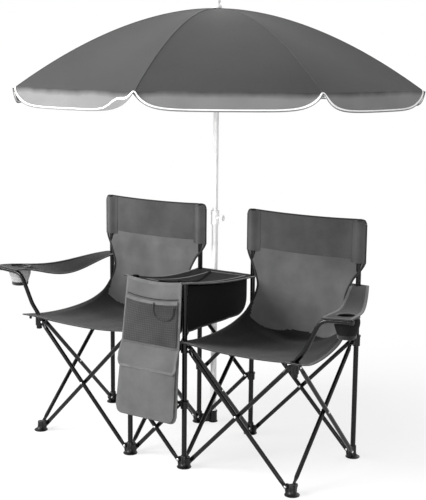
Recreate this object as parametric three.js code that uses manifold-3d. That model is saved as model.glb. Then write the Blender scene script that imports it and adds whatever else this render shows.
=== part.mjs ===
import * as THREE from "three";
import { mergeVertices } from "three/addons/utils/BufferGeometryUtils.js";
import Module from "manifold-3d";

const wasm = await Module();
wasm.setup();

// Frame: two chairs share a middle bay, and every face of the frame is a crossed pair of tubes
const seatBay = 456;
const frameDepth = 456;
const pivotOut = 22;
const footPivotHeight = 28;
const hubPivotHeight = 450;
const tubeDiameter = 16;
const tubeSideGap = 0.3;
const seatGap = 0.3;
const slideClearance = 0.4;

// Posts
const postDiameter = 19;
const rearPostHeight = 898;
const tablePostHeight = 668;

// Flattened and riveted tube ends
const flatThickness = 4.4;
const flatWidth = 17;
const flatLength = 12;
const flatTaper = 18;
const flatTail = 9;
const rivetRadius = 4.5;
const rivetHeadHeight = 2.4;

// Foot mouldings
const footRadius = 27;
const footRimHeight = 4;
const footDomeHeight = 11;
const footNeckRadius = 15;
const footSocketRadius = 12.5;
const footSocketHeight = 46;
const footBlockHeight = 38;

// Sliding brackets and lugs
const sleeveWall = 4.2;
const hubBelow = 17;
const hubAbove = 24;
const midHubHalf = 15;
const lugRound = 9.5;
const hubCollarWall = 1.8;
const hubCollarHeight = 6;

// Armrest tubes
const armTubeDiameter = 16;
const armKneeOut = 36;
const armKneeHeight = 515;
const armTopOut = 94;
const armTopHeight = 632;
const armTipOut = 212;
const armTipHeight = 640;
const armBend = 34;
const armTail = 26;

// Armrest straps and cup holders
const strapThickness = 4;
const strapRearWidth = 68;
const strapRearHeight = 660;
const strapSag = 12;
const strapFrontOverhang = 15;
const cupRadius = 39;
const cupFootRadius = 30;
const cupDepth = 72;
const cupWall = 2.4;
const cupFromFront = 62;
const strapHem = 7;

// Seat slings
const slingThickness = 3;
const outerTip = 45;
const innerTip = 8;
const frontTip = 44;
const innerFrontTip = 30;
const cornerRise = 3;
const hemSag = 20;
const bellySag = 48;
const backDip = 8;
const waistIn = 38;
const waistForward = 28;
const waistHeight = 612;
const sleeveBottom = 748;
const sleeveTop = 893;
const sleeveCover = 2.6;
const cornerHole = 1.2;
const seatRearInset = 20;
const rearTabNarrow = 12.8;
const rearTabWide = 40;

// Table, cooler and organizer
const tableThickness = 3;
const tableRearHeight = 642;
const tablePostGap = 1.8;
const tableSag = 10;
const tableOverhang = 14;
const tableRearHem = 16;
const lidLeft = -62;
const lidMargin = 16;
const lidGap = 0.4;
const coolerWall = 4;
const coolerDepth = 140;
const coolerSideGap = 4;
const coolerFrontGap = 12;
const coolerCorner = 46;
const panelTopWidth = 240;
const panelBottomWidth = 274;
const panelThickness = 3;
const panelBottomHeight = 176;
const panelBottomOut = 70;
const pocketGap = 12;
const pocketInset = 12;
const pocketWall = 2;
const netTop = 606;
const netBottom = 448;
const pouchTop = 392;
const flapTop = 440;
const flapBottom = 352;
const flapThickness = 3;

// Umbrella
const poleRadius = 12.5;
const poleWall = 1.6;
const upperPoleRadius = 9.8;
const upperPoleLap = 380;
const lowerPoleTop = 862;
const poleFromPostX = 45;
const poleFromPostY = 37;
const socketWall = 3.4;
const socketHeight = 48;
const socketFloor = 4;
const clampHeight = 56;
const clampRadius = 16.5;
const knobRadius = 13;
const knobReach = 18;
const knobStem = 4.5;
const canopyRadius = 805;
const canopyTop = 1668;
const canopyRim = 1364;
const canopyThickness = 2.4;
const canopyCurve = 1.9;
const canopyTwist = 14.5;
const panelDip = 10;
const valanceDrop = 74;
const valanceFlare = 6;
const ribCount = 8;
const ribRadius = 2.6;
const ribDrop = 5.2;
const crownRadius = 24;
const crownHeight = 22;
const runnerHeight = 1404;
const runnerLength = 46;
const runnerRadius = 17;
const runnerFlange = 24;
const stretcherReach = 395;
const finialRadius = 9;
const finialHeight = 26;
const cutOverrun = 20;

// Places worked out from the sizes above
const centreBay = (seatBay + 2 * pivotOut) / 2;
const innerX = centreBay / 2;
const outerX = innerX + seatBay;
const frontY = -frameDepth / 2;
const rearY = frameDepth / 2;
const midHubHeight = (footPivotHeight + hubPivotHeight) / 2;
const tubeRadius = tubeDiameter / 2;
const postRadius = postDiameter / 2;
const sideOffset = tubeRadius + tubeSideGap;
const lugHalf = sideOffset - flatThickness / 2 - seatGap;
const sleeveBore = postRadius + slideClearance;
const sleeveRadius = sleeveBore + sleeveWall;
const seatCornerHeight = hubPivotHeight + hubAbove + seatGap + slingThickness / 2;
const poleX = -innerX + poleFromPostX;
const poleY = rearY + poleFromPostY;
const tableFrontHeight = tablePostHeight + tablePostGap + tableThickness / 2;
const panelTopHeight = tableFrontHeight + tableThickness / 2;
const panelTopOut = tableOverhang + seatGap + panelThickness / 2;

const colours = {
  tube: { color: 0x1d1d1f, roughness: 0.38, metalness: 0.75 },
  moulding: { color: 0x0d0d0e, roughness: 0.55, metalness: 0 },
  fabric: { color: 0x48484a, roughness: 0.92, metalness: 0 },
  darkFabric: { color: 0x0e0e0f, roughness: 0.9, metalness: 0 },
  grey: { color: 0x6c6c6e, roughness: 0.9, metalness: 0 },
  whiteTube: { color: 0xececec, roughness: 0.35, metalness: 0.1 },
  whiteMoulding: { color: 0xf2f2f0, roughness: 0.5, metalness: 0 },
};

const model = new THREE.Group();

function addPiece(name, geometry, finish) {
  const bare = geometry.index ? geometry : mergeVertices(geometry);
  bare.computeVertexNormals();
  const mesh = new THREE.Mesh(bare, new THREE.MeshStandardMaterial(colours[finish]));
  mesh.name = name;
  model.add(mesh);
  return mesh;
}

// Solids from closed meshes, for joins and cuts
function toSolid(geometry) {
  const bare = geometry.clone();
  bare.deleteAttribute("normal");
  bare.deleteAttribute("uv");
  const merged = mergeVertices(bare);
  return new wasm.Manifold(new wasm.Mesh({
    numProp: 3,
    vertProperties: new Float32Array(merged.attributes.position.array),
    triVerts: new Uint32Array(merged.index.array),
  }));
}

function toGeometry(solid) {
  const mesh = solid.getMesh();
  const geometry = new THREE.BufferGeometry();
  geometry.setAttribute("position", new THREE.BufferAttribute(mesh.vertProperties, 3));
  geometry.setIndex(new THREE.BufferAttribute(mesh.triVerts, 1));
  return geometry;
}

function joined(...geometries) {
  return geometries.map(toSolid).reduce((sum, solid) => sum.add(solid));
}

// A closed skin over rings of points: each ring joins the next, and both ends are capped
function loft(rings) {
  const sides = rings[0].length;
  const points = rings.flat();
  const faces = [];
  for (let r = 0; r + 1 < rings.length; r += 1) {
    for (let s = 0; s < sides; s += 1) {
      const next = (s + 1) % sides;
      const a = r * sides + s;
      const b = r * sides + next;
      faces.push(a, b, b + sides, a, b + sides, a + sides);
    }
  }
  const last = (rings.length - 1) * sides;
  for (let s = 1; s + 1 < sides; s += 1) {
    faces.push(0, s + 1, s, last, last + s, last + s + 1);
  }
  return closedGeometry(points, faces);
}

function closedGeometry(points, faces) {
  const geometry = new THREE.BufferGeometry().setFromPoints(points);
  let volume = 0;
  for (let f = 0; f < faces.length; f += 3) {
    const [a, b, c] = [points[faces[f]], points[faces[f + 1]], points[faces[f + 2]]];
    volume += a.dot(new THREE.Vector3().crossVectors(b, c));
  }
  if (volume < 0) {
    for (let f = 0; f < faces.length; f += 3) {
      [faces[f + 1], faces[f + 2]] = [faces[f + 2], faces[f + 1]];
    }
  }
  geometry.setIndex(faces);
  return geometry;
}

// A ring of points round a centre, as wide as a along one axis and b along the other
function ring(centre, axisA, axisB, a, b, sides) {
  return Array.from({ length: sides }, (_, s) => {
    const angle = ((s + 0.5) / sides) * 2 * Math.PI;
    return centre.clone()
      .addScaledVector(axisA, a * Math.cos(angle))
      .addScaledVector(axisB, b * Math.sin(angle));
  });
}

// A round bar along a list of points, with mitred bends
function bar(points, radius, sides) {
  let side = null;
  const rings = points.map((point, i) => {
    const before = points[Math.max(i - 1, 0)];
    const after = points[Math.min(i + 1, points.length - 1)];
    const along = after.clone().sub(before).normalize();
    const firstSide = Math.abs(along.y) > 0.9 ? new THREE.Vector3(0, 0, 1) : new THREE.Vector3(0, 1, 0);
    const start = side ?? firstSide;
    side = start.clone().addScaledVector(along, -start.dot(along)).normalize();
    const other = new THREE.Vector3().crossVectors(along, side);
    return ring(point, side, other, radius, radius, sides);
  });
  return loft(rings);
}

function disc(x, y, low, high, radius, sides = 16) {
  return bar([new THREE.Vector3(x, y, low), new THREE.Vector3(x, y, high)], radius, sides);
}

function block(lowX, highX, lowY, highY, lowZ, highZ) {
  const geometry = new THREE.BoxGeometry(highX - lowX, highY - lowY, highZ - lowZ);
  return geometry.translate((lowX + highX) / 2, (lowY + highY) / 2, (lowZ + highZ) / 2);
}

function turned(profile, x, y, sides) {
  const points = profile.map(([radius, height]) => new THREE.Vector2(radius, height));
  return new THREE.LatheGeometry(points, sides).rotateX(Math.PI / 2).translate(x, y, 0);
}

// A lug for one tube end: a plate from the bracket's middle, rounded about its pivot
function lug(x, y, pivotZ, dirX, dirY, below) {
  const centre = new THREE.Vector3(x + dirX * pivotOut, y + dirY * pivotOut, pivotZ);
  const across = new THREE.Vector3(dirY, dirX, 0);
  const round = bar([
    centre.clone().addScaledVector(across, -lugHalf),
    centre.clone().addScaledVector(across, lugHalf),
  ], lugRound, 10);
  const farX = x + dirX * pivotOut;
  const farY = y + dirY * pivotOut;
  const halfX = dirX ? 0 : lugHalf;
  const halfY = dirY ? 0 : lugHalf;
  const plate = block(
    Math.min(x, farX) - halfX, Math.max(x, farX) + halfX,
    Math.min(y, farY) - halfY, Math.max(y, farY) + halfY,
    pivotZ - below, pivotZ + lugRound * Math.cos(Math.PI / 10),
  );
  return [round, plate];
}

// Posts stand at the eight corners; a lug faces each neighbour
const corners = {
  left_front_outer: { x: -outerX, y: frontY, lugs: [[1, 0], [0, 1]], top: 0 },
  left_front_inner: { x: -innerX, y: frontY, lugs: [[-1, 0], [1, 0], [0, 1]], top: tablePostHeight },
  right_front_inner: { x: innerX, y: frontY, lugs: [[-1, 0], [1, 0], [0, 1]], top: tablePostHeight },
  right_front_outer: { x: outerX, y: frontY, lugs: [[-1, 0], [0, 1]], top: 0 },
  left_rear_outer: { x: -outerX, y: rearY, lugs: [[1, 0], [0, -1]], top: rearPostHeight },
  left_rear_inner: { x: -innerX, y: rearY, lugs: [[-1, 0], [1, 0], [0, -1]], top: rearPostHeight },
  right_rear_inner: { x: innerX, y: rearY, lugs: [[-1, 0], [1, 0], [0, -1]], top: rearPostHeight },
  right_rear_outer: { x: outerX, y: rearY, lugs: [[-1, 0], [0, -1]], top: rearPostHeight },
};

const footProfile = [
  [0, 0],
  [footRadius - footRimHeight / 2, 0],
  [footRadius, footRimHeight / 2],
  [footRadius - footRimHeight / 2, footRimHeight],
  [footNeckRadius, footDomeHeight],
  [0, footDomeHeight],
];

// Foot moulding with its lugs, and the post that is pressed into it where one stands there
function footGeometry(corner) {
  const { x, y, lugs, top } = corner;
  const pieces = [turned(footProfile, x, y, 12)];
  const height = top ? footSocketHeight : footBlockHeight;
  pieces.push(disc(x, y, footRimHeight, height, footSocketRadius, 12));
  for (const [dirX, dirY] of lugs) {
    pieces.push(...lug(x, y, footPivotHeight, dirX, dirY, footPivotHeight - footRimHeight));
  }
  if (top) {
    pieces.push(disc(x, y, footRimHeight, top, postRadius, 12));
  }
  return pieces;
}

// The left chair's inner rear foot also holds the umbrella pole
function umbrellaSocket() {
  const { x, y } = corners.left_rear_inner;
  const outer = poleRadius + slideClearance + socketWall;
  const web = bar([
    new THREE.Vector3(x, y, footRimHeight + footDomeHeight / 2),
    new THREE.Vector3(poleX, poleY, footRimHeight + footDomeHeight / 2),
  ], footDomeHeight / 2, 8);
  const cup = disc(poleX, poleY, 0, socketHeight, outer, 12);
  const bore = disc(poleX, poleY, socketFloor, socketHeight + cutOverrun, poleRadius + slideClearance, 12);
  return { add: [web, cup], bore };
}

for (const [name, corner] of Object.entries(corners)) {
  const pieces = footGeometry(corner);
  let solid = joined(...pieces);
  if (name === "left_rear_inner") {
    const socket = umbrellaSocket();
    solid = solid.add(joined(...socket.add)).subtract(toSolid(socket.bore));
  }
  const label = corner.top ? `${name}_post_and_foot` : `${name}_foot`;
  addPiece(label, toGeometry(solid), "moulding");
}

// Bracket that slides on a post and carries tube ends
function bracketSolid(x, y, pivotZ, below, above, lugs) {
  const top = pivotZ + above;
  const sleeve = disc(x, y, pivotZ - below, top, sleeveRadius, 12);
  const collar = disc(x, y, top - hubCollarHeight, top, sleeveRadius + hubCollarWall, 12);
  const ears = lugs.flatMap(([dirX, dirY]) => lug(x, y, pivotZ, dirX, dirY, lugRound));
  return joined(sleeve, collar, ...ears);
}

function boreCut(x, y, low, high, radius) {
  return toSolid(disc(x, y, low - cutOverrun, high + cutOverrun, radius, 12));
}

// Armrest front tube: up from its bracket, out at the knee, then level under the armrest
function armPath(x, y) {
  const side = Math.sign(x);
  const corner = (out, height) => new THREE.Vector3(x + side * out, y, height);
  const path = [
    corner(0, hubPivotHeight - armTail),
    corner(0, hubPivotHeight + hubAbove),
    corner(armKneeOut, armKneeHeight),
    corner(armTopOut, armTopHeight),
    corner(armTipOut, armTipHeight),
  ];
  const rounded = [path[0]];
  for (let i = 1; i + 1 < path.length; i += 1) {
    const back = path[i - 1].clone().sub(path[i]);
    const on = path[i + 1].clone().sub(path[i]);
    const reach = Math.min(armBend, back.length() / 3, on.length() / 3);
    const from = path[i].clone().addScaledVector(back.normalize(), reach);
    const to = path[i].clone().addScaledVector(on.normalize(), reach);
    const curve = new THREE.QuadraticBezierCurve3(from, path[i], to);
    rounded.push(...curve.getPoints(3));
  }
  rounded.push(path.at(-1));
  return rounded;
}

for (const [name, corner] of Object.entries(corners)) {
  const { x, y, lugs, top } = corner;
  const solid = bracketSolid(x, y, hubPivotHeight, hubBelow, hubAbove, lugs);
  if (top) {
    const bore = boreCut(x, y, hubPivotHeight - hubBelow, hubPivotHeight + hubAbove, sleeveBore);
    addPiece(`${name}_bracket`, toGeometry(solid.subtract(bore)), "moulding");
  } else {
    const withTube = solid.add(toSolid(bar(armPath(x, y), armTubeDiameter / 2, 10)));
    addPiece(`${name}_arm_tube_and_bracket`, toGeometry(withTube), "tube");
  }
}

const midBrackets = {
  left_front_inner: [1, 0],
  right_front_inner: [-1, 0],
  left_rear_inner: [1, 0],
  right_rear_inner: [-1, 0],
};
for (const [name, dir] of Object.entries(midBrackets)) {
  const { x, y } = corners[name];
  const solid = bracketSolid(x, y, midHubHeight, midHubHalf, midHubHalf, [dir])
    .subtract(boreCut(x, y, midHubHeight - midHubHalf, midHubHeight + midHubHalf, sleeveBore));
  addPiece(`${name}_middle_bracket`, toGeometry(solid), "moulding");
}

// Scissor tube between two pivots, with both ends pressed flat and riveted; out is its hinge axis side
function scissorTube(from, to, out) {
  const along = to.clone().sub(from).normalize();
  const wide = new THREE.Vector3().crossVectors(along, out).normalize();
  const length = from.distanceTo(to);
  const half = flatThickness / 2;
  const stations = [
    [-flatTail, half, flatWidth / 4],
    [-flatTail / 2, half, flatWidth / 2],
    [flatLength, half, flatWidth / 2],
    [flatLength + flatTaper, tubeRadius, tubeRadius],
    [length - flatLength - flatTaper, tubeRadius, tubeRadius],
    [length - flatLength, half, flatWidth / 2],
    [length + flatTail / 2, half, flatWidth / 2],
    [length + flatTail, half, flatWidth / 4],
  ];
  const rings = stations.map(([at, thick, width]) => {
    const centre = from.clone().addScaledVector(along, at);
    return ring(centre, out, wide, thick, width, 8);
  });
  const heads = [from, to].map((pivot) => bar([
    pivot.clone(),
    pivot.clone().addScaledVector(out, half + rivetHeadHeight),
  ], rivetRadius, 6));
  return toGeometry(joined(loft(rings), ...heads));
}

// One face of the frame: the tube rising from P runs on the far side, and the one from Q on the near side
function crossedPair(names, p, q, lowZ, highZ, across) {
  const along = new THREE.Vector3(q.x - p.x, q.y - p.y, 0).normalize();
  const pivot = (post, sign, height, side) => new THREE.Vector3(post.x, post.y, height)
    .addScaledVector(along, sign * pivotOut)
    .addScaledVector(across, side * sideOffset);
  const rising = scissorTube(pivot(p, 1, lowZ, 1), pivot(q, -1, highZ, 1), across);
  const falling = scissorTube(pivot(q, -1, lowZ, -1), pivot(p, 1, highZ, -1), across.clone().negate());
  addPiece(names[0], rising, "tube");
  addPiece(names[1], falling, "tube");
}

const backwards = new THREE.Vector3(0, 1, 0);
const leftwards = new THREE.Vector3(-1, 0, 0);
for (const row of ["front", "rear"]) {
  crossedPair(
    [`left_${row}_tube_from_outer_foot`, `left_${row}_tube_from_inner_foot`],
    corners[`left_${row}_outer`], corners[`left_${row}_inner`],
    footPivotHeight, hubPivotHeight, backwards,
  );
  crossedPair(
    [`right_${row}_tube_from_inner_foot`, `right_${row}_tube_from_outer_foot`],
    corners[`right_${row}_inner`], corners[`right_${row}_outer`],
    footPivotHeight, hubPivotHeight, backwards,
  );
  const levels = { lower: [footPivotHeight, midHubHeight], upper: [midHubHeight, hubPivotHeight] };
  for (const [level, [lowZ, highZ]] of Object.entries(levels)) {
    crossedPair(
      [`middle_${row}_${level}_tube_left`, `middle_${row}_${level}_tube_right`],
      corners[`left_${row}_inner`], corners[`right_${row}_inner`], lowZ, highZ, backwards,
    );
  }
}
for (const post of ["left_outer", "left_inner", "right_inner", "right_outer"]) {
  const [chair, place] = post.split("_");
  crossedPair(
    [`${post}_side_tube_from_front_foot`, `${post}_side_tube_from_rear_foot`],
    corners[`${chair}_front_${place}`], corners[`${chair}_rear_${place}`],
    footPivotHeight, hubPivotHeight, leftwards,
  );
}

// A cloth sheet of even thickness over a grid of points
function sheet(grid, thickness) {
  const rows = grid.length;
  const columns = grid[0].length;
  const top = [];
  const bottom = [];
  for (let r = 0; r < rows; r += 1) {
    for (let c = 0; c < columns; c += 1) {
      const alongRow = grid[r][Math.min(c + 1, columns - 1)].clone().sub(grid[r][Math.max(c - 1, 0)]);
      const alongColumn = grid[Math.min(r + 1, rows - 1)][c].clone().sub(grid[Math.max(r - 1, 0)][c]);
      const normal = new THREE.Vector3().crossVectors(alongRow, alongColumn).normalize();
      top.push(grid[r][c].clone().addScaledVector(normal, thickness / 2));
      bottom.push(grid[r][c].clone().addScaledVector(normal, -thickness / 2));
    }
  }
  const at = (r, c) => r * columns + c;
  const under = rows * columns;
  const faces = [];
  for (let r = 0; r + 1 < rows; r += 1) {
    for (let c = 0; c + 1 < columns; c += 1) {
      const [a, b, d, e] = [at(r, c), at(r, c + 1), at(r + 1, c + 1), at(r + 1, c)];
      faces.push(a, b, d, a, d, e);
      faces.push(under + a, under + d, under + b, under + a, under + e, under + d);
    }
  }
  const edge = [];
  for (let c = 0; c + 1 < columns; c += 1) edge.push(at(0, c));
  for (let r = 0; r + 1 < rows; r += 1) edge.push(at(r, columns - 1));
  for (let c = columns - 1; c > 0; c -= 1) edge.push(at(rows - 1, c));
  for (let r = rows - 1; r > 0; r -= 1) edge.push(at(r, 0));
  edge.forEach((a, i) => {
    const b = edge[(i + 1) % edge.length];
    faces.push(a, under + a, under + b, a, under + b, b);
  });
  return closedGeometry([...top, ...bottom], faces);
}

function smoothTable(rows, count) {
  const curve = (pick) => new THREE.CatmullRomCurve3(rows.map(pick), false, "centripetal");
  const middle = curve((row) => row.middle);
  const edge = curve((row) => row.edge);
  return Array.from({ length: count + 1 }, (_, i) => {
    const share = i / count;
    return { middle: middle.getPoint(share), edge: edge.getPoint(share) };
  });
}

// Seat sling: one cloth from the front hem, down into the seat, up the back and over the rear posts
function slingSide(postX, tip, forward) {
  const side = Math.sign(tip);
  const seat = seatCornerHeight;
  const sleeveX = postX + side * sleeveBore / 2;
  const sleeveMiddle = (sleeveBottom + sleeveTop) / 2;
  const points = [
    // edge x, y and z, then the middle's y and z
    [postX + tip, frontY - forward, seat + cornerRise, frontY - frontTip / 2, seat - hemSag],
    [
      postX + tip / 2, frontY + frameDepth / 6, seat + cornerRise / 2,
      frontY + frameDepth / 6, seat - hemSag * 1.4,
    ],
    [postX + tip / 4, frontY + frameDepth / 2, seat + cornerRise, frontY + frameDepth / 2, seat - bellySag],
    [postX, rearY - frameDepth / 4, seat + hemSag * 1.5, rearY - frameDepth / 4, seat - bellySag],
    [
      postX - side * waistIn / 3, rearY - waistForward * 2, seat + bellySag,
      rearY - seatRearInset * 1.4, seat - bellySag * 0.85,
    ],
    [postX - side * waistIn, rearY - waistForward, waistHeight, rearY - waistForward / 2, seat + bellySag],
    [
      postX - side * waistIn * 0.8, rearY - waistForward / 3, (waistHeight + sleeveBottom) / 2,
      rearY - backDip, waistHeight + bellySag,
    ],
    [sleeveX, rearY, sleeveBottom, rearY - backDip, sleeveBottom - backDip],
    [sleeveX, rearY, sleeveMiddle, rearY - backDip / 2, sleeveMiddle - backDip],
    [sleeveX, rearY, sleeveTop, rearY - backDip / 2, sleeveTop - backDip],
  ];
  return points.map(([x, y, z, middleY, middleZ]) => ({ edge: [x, y, z], middle: [middleY, middleZ] }));
}

const slingRows = 14;
const tabRows = 5;
const strapRows = 10;
const clothColumns = 4;
const slingColumnShares = [0.3, 0.62];
const flatCornerShare = 0.9;
const crossPower = 2.2;

function slingGeometry(chair) {
  const sign = chair === "left" ? -1 : 1;
  const outer = corners[`${chair}_rear_outer`];
  const inner = corners[`${chair}_rear_inner`];
  const outerRows = slingSide(outer.x, sign * outerTip, frontTip);
  const innerRows = slingSide(inner.x, -sign * innerTip, innerFrontTip);
  const centreX = (outer.x + inner.x) / 2;
  const half = (rows) => smoothTable(rows.map((row) => ({
    edge: new THREE.Vector3(...row.edge),
    middle: new THREE.Vector3(centreX, ...row.middle),
  })), slingRows);
  const outerHalf = half(outerRows);
  const innerHalf = half(innerRows);
  // The cloth is level from its edge to just inside each bracket, and hangs between them
  const bracketShare = (row) => {
    const wide = Math.abs(row.edge.x - centreX);
    return Math.min(1, (seatBay / 2 - sleeveRadius - hubCollarWall - slingThickness) / wide);
  };
  const grid = outerHalf.map((row, i) => {
    const line = (table) => {
      const level = bracketShare(table);
      const shares = [...slingColumnShares, Math.min(level, flatCornerShare), 1];
      return shares.map((share) => {
        const rise = Math.min(1, share / level) ** crossPower;
        const point = table.middle.clone();
        point.x += (table.edge.x - point.x) * share;
        point.y += (table.edge.y - point.y) * rise;
        point.z += (table.edge.z - point.z) * rise;
        return point;
      });
    };
    return [...line(row).reverse(), row.middle.clone(), ...line(innerHalf[i])];
  });
  return sheet(grid, slingThickness);
}

// Tab at a rear corner of the seat, sewn under the cloth and held down on its bracket
function cornerTab(rear, inward, outward) {
  const side = Math.sign(rear.x);
  const reach = frameDepth / 4 + rearTabNarrow / 2;
  const grid = Array.from({ length: tabRows + 1 }, (_, r) => {
    const share = r / tabRows;
    const y = THREE.MathUtils.lerp(rear.y + sleeveRadius, rear.y - reach, share);
    const z = seatCornerHeight + hemSag * 1.5 * THREE.MathUtils.smoothstep(share, 0, 1);
    return [-inward, 0, outward].map((out) => new THREE.Vector3(rear.x + side * out, y, z));
  });
  return sheet(grid, slingThickness);
}

function slingSolid(chair) {
  let solid = toSolid(slingGeometry(chair));
  for (const place of ["outer", "inner"]) {
    const rear = corners[`${chair}_rear_${place}`];
    const cover = sleeveBore + sleeveCover;
    const sleeve = disc(rear.x, rear.y, sleeveBottom, sleeveTop + slingThickness, cover, 12);
    const bore = disc(rear.x, rear.y, hubPivotHeight, rearPostHeight + cutOverrun, sleeveBore, 12);
    const tab = cornerTab(rear, rearTabNarrow, place === "outer" ? rearTabWide : rearTabNarrow);
    solid = solid.add(toSolid(sleeve)).add(toSolid(tab)).subtract(toSolid(bore));
    const front = corners[`${chair}_front_${place}`];
    const hole = (front.top ? postRadius : armTubeDiameter / 2) + cornerHole;
    const cutter = front.top
      ? disc(front.x, front.y, hubPivotHeight, tablePostHeight, hole, 12)
      : bar(armPath(front.x, front.y), hole, 10);
    solid = solid.subtract(toSolid(cutter));
  }
  return solid;
}

for (const chair of ["left", "right"]) {
  addPiece(`${chair}_seat_sling`, toGeometry(slingSolid(chair)), "fabric");
}

// Armrest strap from the front tube to the rear post, with a net cup holder let into it
function armrestSolid(chair) {
  const sign = chair === "left" ? -1 : 1;
  const front = corners[`${chair}_front_outer`];
  const rear = corners[`${chair}_rear_outer`];
  const innerFront = front.x + sign * (armTopOut + armBend / 3);
  const outerFront = front.x + sign * armTipOut;
  const lift = armTubeDiameter / 2 + seatGap * 2 + strapThickness / 2;
  const grid = [];
  for (let r = 0; r <= strapRows; r += 1) {
    const share = r / strapRows;
    const line = [];
    for (let c = 0; c <= clothColumns; c += 1) {
      const across = c / clothColumns;
      const x = THREE.MathUtils.lerp(
        THREE.MathUtils.lerp(innerFront, outerFront, across),
        rear.x + sign * (across - 0.5) * strapRearWidth,
        share ** 1.3,
      );
      const y = THREE.MathUtils.lerp(front.y - strapFrontOverhang, rear.y + strapFrontOverhang, share);
      const tipRise = (armTipHeight - armTopHeight) * across * (1 - share);
      const frontZ = armTopHeight + lift + tipRise;
      const level = THREE.MathUtils.lerp(frontZ, strapRearHeight, share);
      line.push(new THREE.Vector3(x, y, level - strapSag * Math.sin(Math.PI * share) ** 2));
    }
    grid.push(line);
  }
  let solid = toSolid(sheet(grid, strapThickness));
  const cupX = (innerFront + outerFront) / 2;
  const cupY = front.y + cupFromFront;
  const rimZ = armTopHeight + lift;
  const wall = [
    [0, rimZ - cupDepth],
    [cupFootRadius, rimZ - cupDepth],
    [cupRadius, rimZ - strapHem],
    [cupRadius, rimZ + strapThickness / 2],
    [0, rimZ + strapThickness / 2],
  ];
  const hollow = [
    [0, rimZ - cupDepth + cupWall],
    [cupFootRadius - cupWall, rimZ - cupDepth + cupWall],
    [cupRadius - cupWall, rimZ - strapHem],
    [cupRadius - cupWall, rimZ + cutOverrun],
    [0, rimZ + cutOverrun],
  ];
  solid = solid.add(toSolid(turned(wall, cupX, cupY, 12)));
  solid = solid.subtract(toSolid(turned(hollow, cupX, cupY, 12)));
  return solid.subtract(toSolid(disc(rear.x, rear.y, waistHeight, sleeveBottom, sleeveBore, 12)));
}

for (const chair of ["left", "right"]) {
  addPiece(`${chair}_armrest`, toGeometry(armrestSolid(chair)), "fabric");
}

// Table cloth between the four middle posts
function tableHeightAt(x, y) {
  const share = THREE.MathUtils.clamp((y - frontY) / frameDepth, 0, 1);
  const slope = THREE.MathUtils.lerp(tableFrontHeight, tableRearHeight, share);
  const bow = Math.max(0, 1 - (x / innerX) ** 2) * Math.sin(Math.PI * share);
  return slope - tableSag * bow;
}

function tableSheet(lowX, highX, lowY, highY, columns, rows, thickness) {
  const grid = [];
  for (let r = 0; r <= rows; r += 1) {
    const y = THREE.MathUtils.lerp(lowY, highY, r / rows);
    const line = [];
    for (let c = 0; c <= columns; c += 1) {
      const x = THREE.MathUtils.lerp(lowX, highX, c / columns);
      line.push(new THREE.Vector3(x, y, tableHeightAt(x, y)));
    }
    grid.push(line);
  }
  return sheet(grid, thickness);
}

const lidBox = {
  lowX: lidLeft,
  highX: innerX - lidMargin,
  lowY: frontY + lidMargin,
  highY: rearY - lidMargin * 1.5,
};

function tableSolid() {
  const cloth = tableSheet(
    -innerX - tableOverhang, innerX + tableOverhang,
    frontY - tableOverhang, rearY + tableRearHem, 6, 8, tableThickness,
  );
  const opening = block(
    lidBox.lowX, lidBox.highX, lidBox.lowY, lidBox.highY,
    tableRearHeight - tableRearHem * 2, tableFrontHeight + cutOverrun,
  );
  let solid = toSolid(cloth).subtract(toSolid(opening));
  for (const side of ["left", "right"]) {
    const rear = corners[`${side}_rear_inner`];
    const bore = disc(rear.x, rear.y, waistHeight, tableFrontHeight + cutOverrun, sleeveBore, 12);
    solid = solid.subtract(toSolid(bore));
  }
  return solid;
}
addPiece("table_top", toGeometry(tableSolid()), "fabric");

const lidCloth = tableSheet(
  lidBox.lowX + lidGap, lidBox.highX - lidGap,
  lidBox.lowY + lidGap, lidBox.highY - lidGap, clothColumns, 6, tableThickness,
);
addPiece("cooler_lid", lidCloth, "fabric");

// Cooler bag: a soft box hung from the table, its lower rear edge rounded
function coolerOutline(grow, top) {
  const lowY = frontY + postRadius + coolerFrontGap - grow;
  const highY = rearY - sleeveRadius - coolerFrontGap + grow;
  const bottom = tableRearHeight - coolerDepth - grow;
  const shape = new THREE.Shape();
  shape.moveTo(lowY, top(lowY));
  shape.lineTo(lowY, bottom + coolerCorner / 2);
  shape.quadraticCurveTo(lowY, bottom, lowY + coolerCorner / 2, bottom);
  shape.lineTo(highY - coolerCorner * 1.6, bottom);
  shape.quadraticCurveTo(highY, bottom, highY, bottom + coolerCorner * 1.4);
  shape.lineTo(highY, top(highY));
  shape.closePath();
  return shape;
}

function coolerBlock(grow, lowX, highX, top) {
  const geometry = new THREE.ExtrudeGeometry(coolerOutline(grow, top), {
    depth: highX - lowX,
    bevelEnabled: false,
    curveSegments: 5,
  });
  geometry.rotateY(Math.PI / 2);
  geometry.rotateX(Math.PI / 2);
  return geometry.translate(lowX, 0, 0);
}

function coolerSolid() {
  const lowX = -innerX + postRadius + coolerSideGap;
  const highX = innerX - postRadius - coolerSideGap;
  const clear = tableThickness / 2 + seatGap + tableSag;
  const top = (y) => tableHeightAt(innerX, y) - clear;
  const outer = toSolid(coolerBlock(0, lowX, highX, top));
  const openTop = (y) => top(y) + cutOverrun;
  const inner = toSolid(coolerBlock(-coolerWall, lowX + coolerWall, highX - coolerWall, openTop));
  return outer.subtract(inner);
}
addPiece("cooler_bag", toGeometry(coolerSolid()), "darkFabric");

// Organizer: a long panel over the front edge of the table, with a net pocket and a flapped pouch
function panelOut(z) {
  return THREE.MathUtils.mapLinear(z, panelTopHeight, panelBottomHeight, panelTopOut, panelBottomOut);
}

function panelHalfWidth(z) {
  const share = (panelTopHeight - z) / (panelTopHeight - panelBottomHeight);
  return THREE.MathUtils.lerp(panelTopWidth, panelBottomWidth, share) / 2;
}

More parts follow.
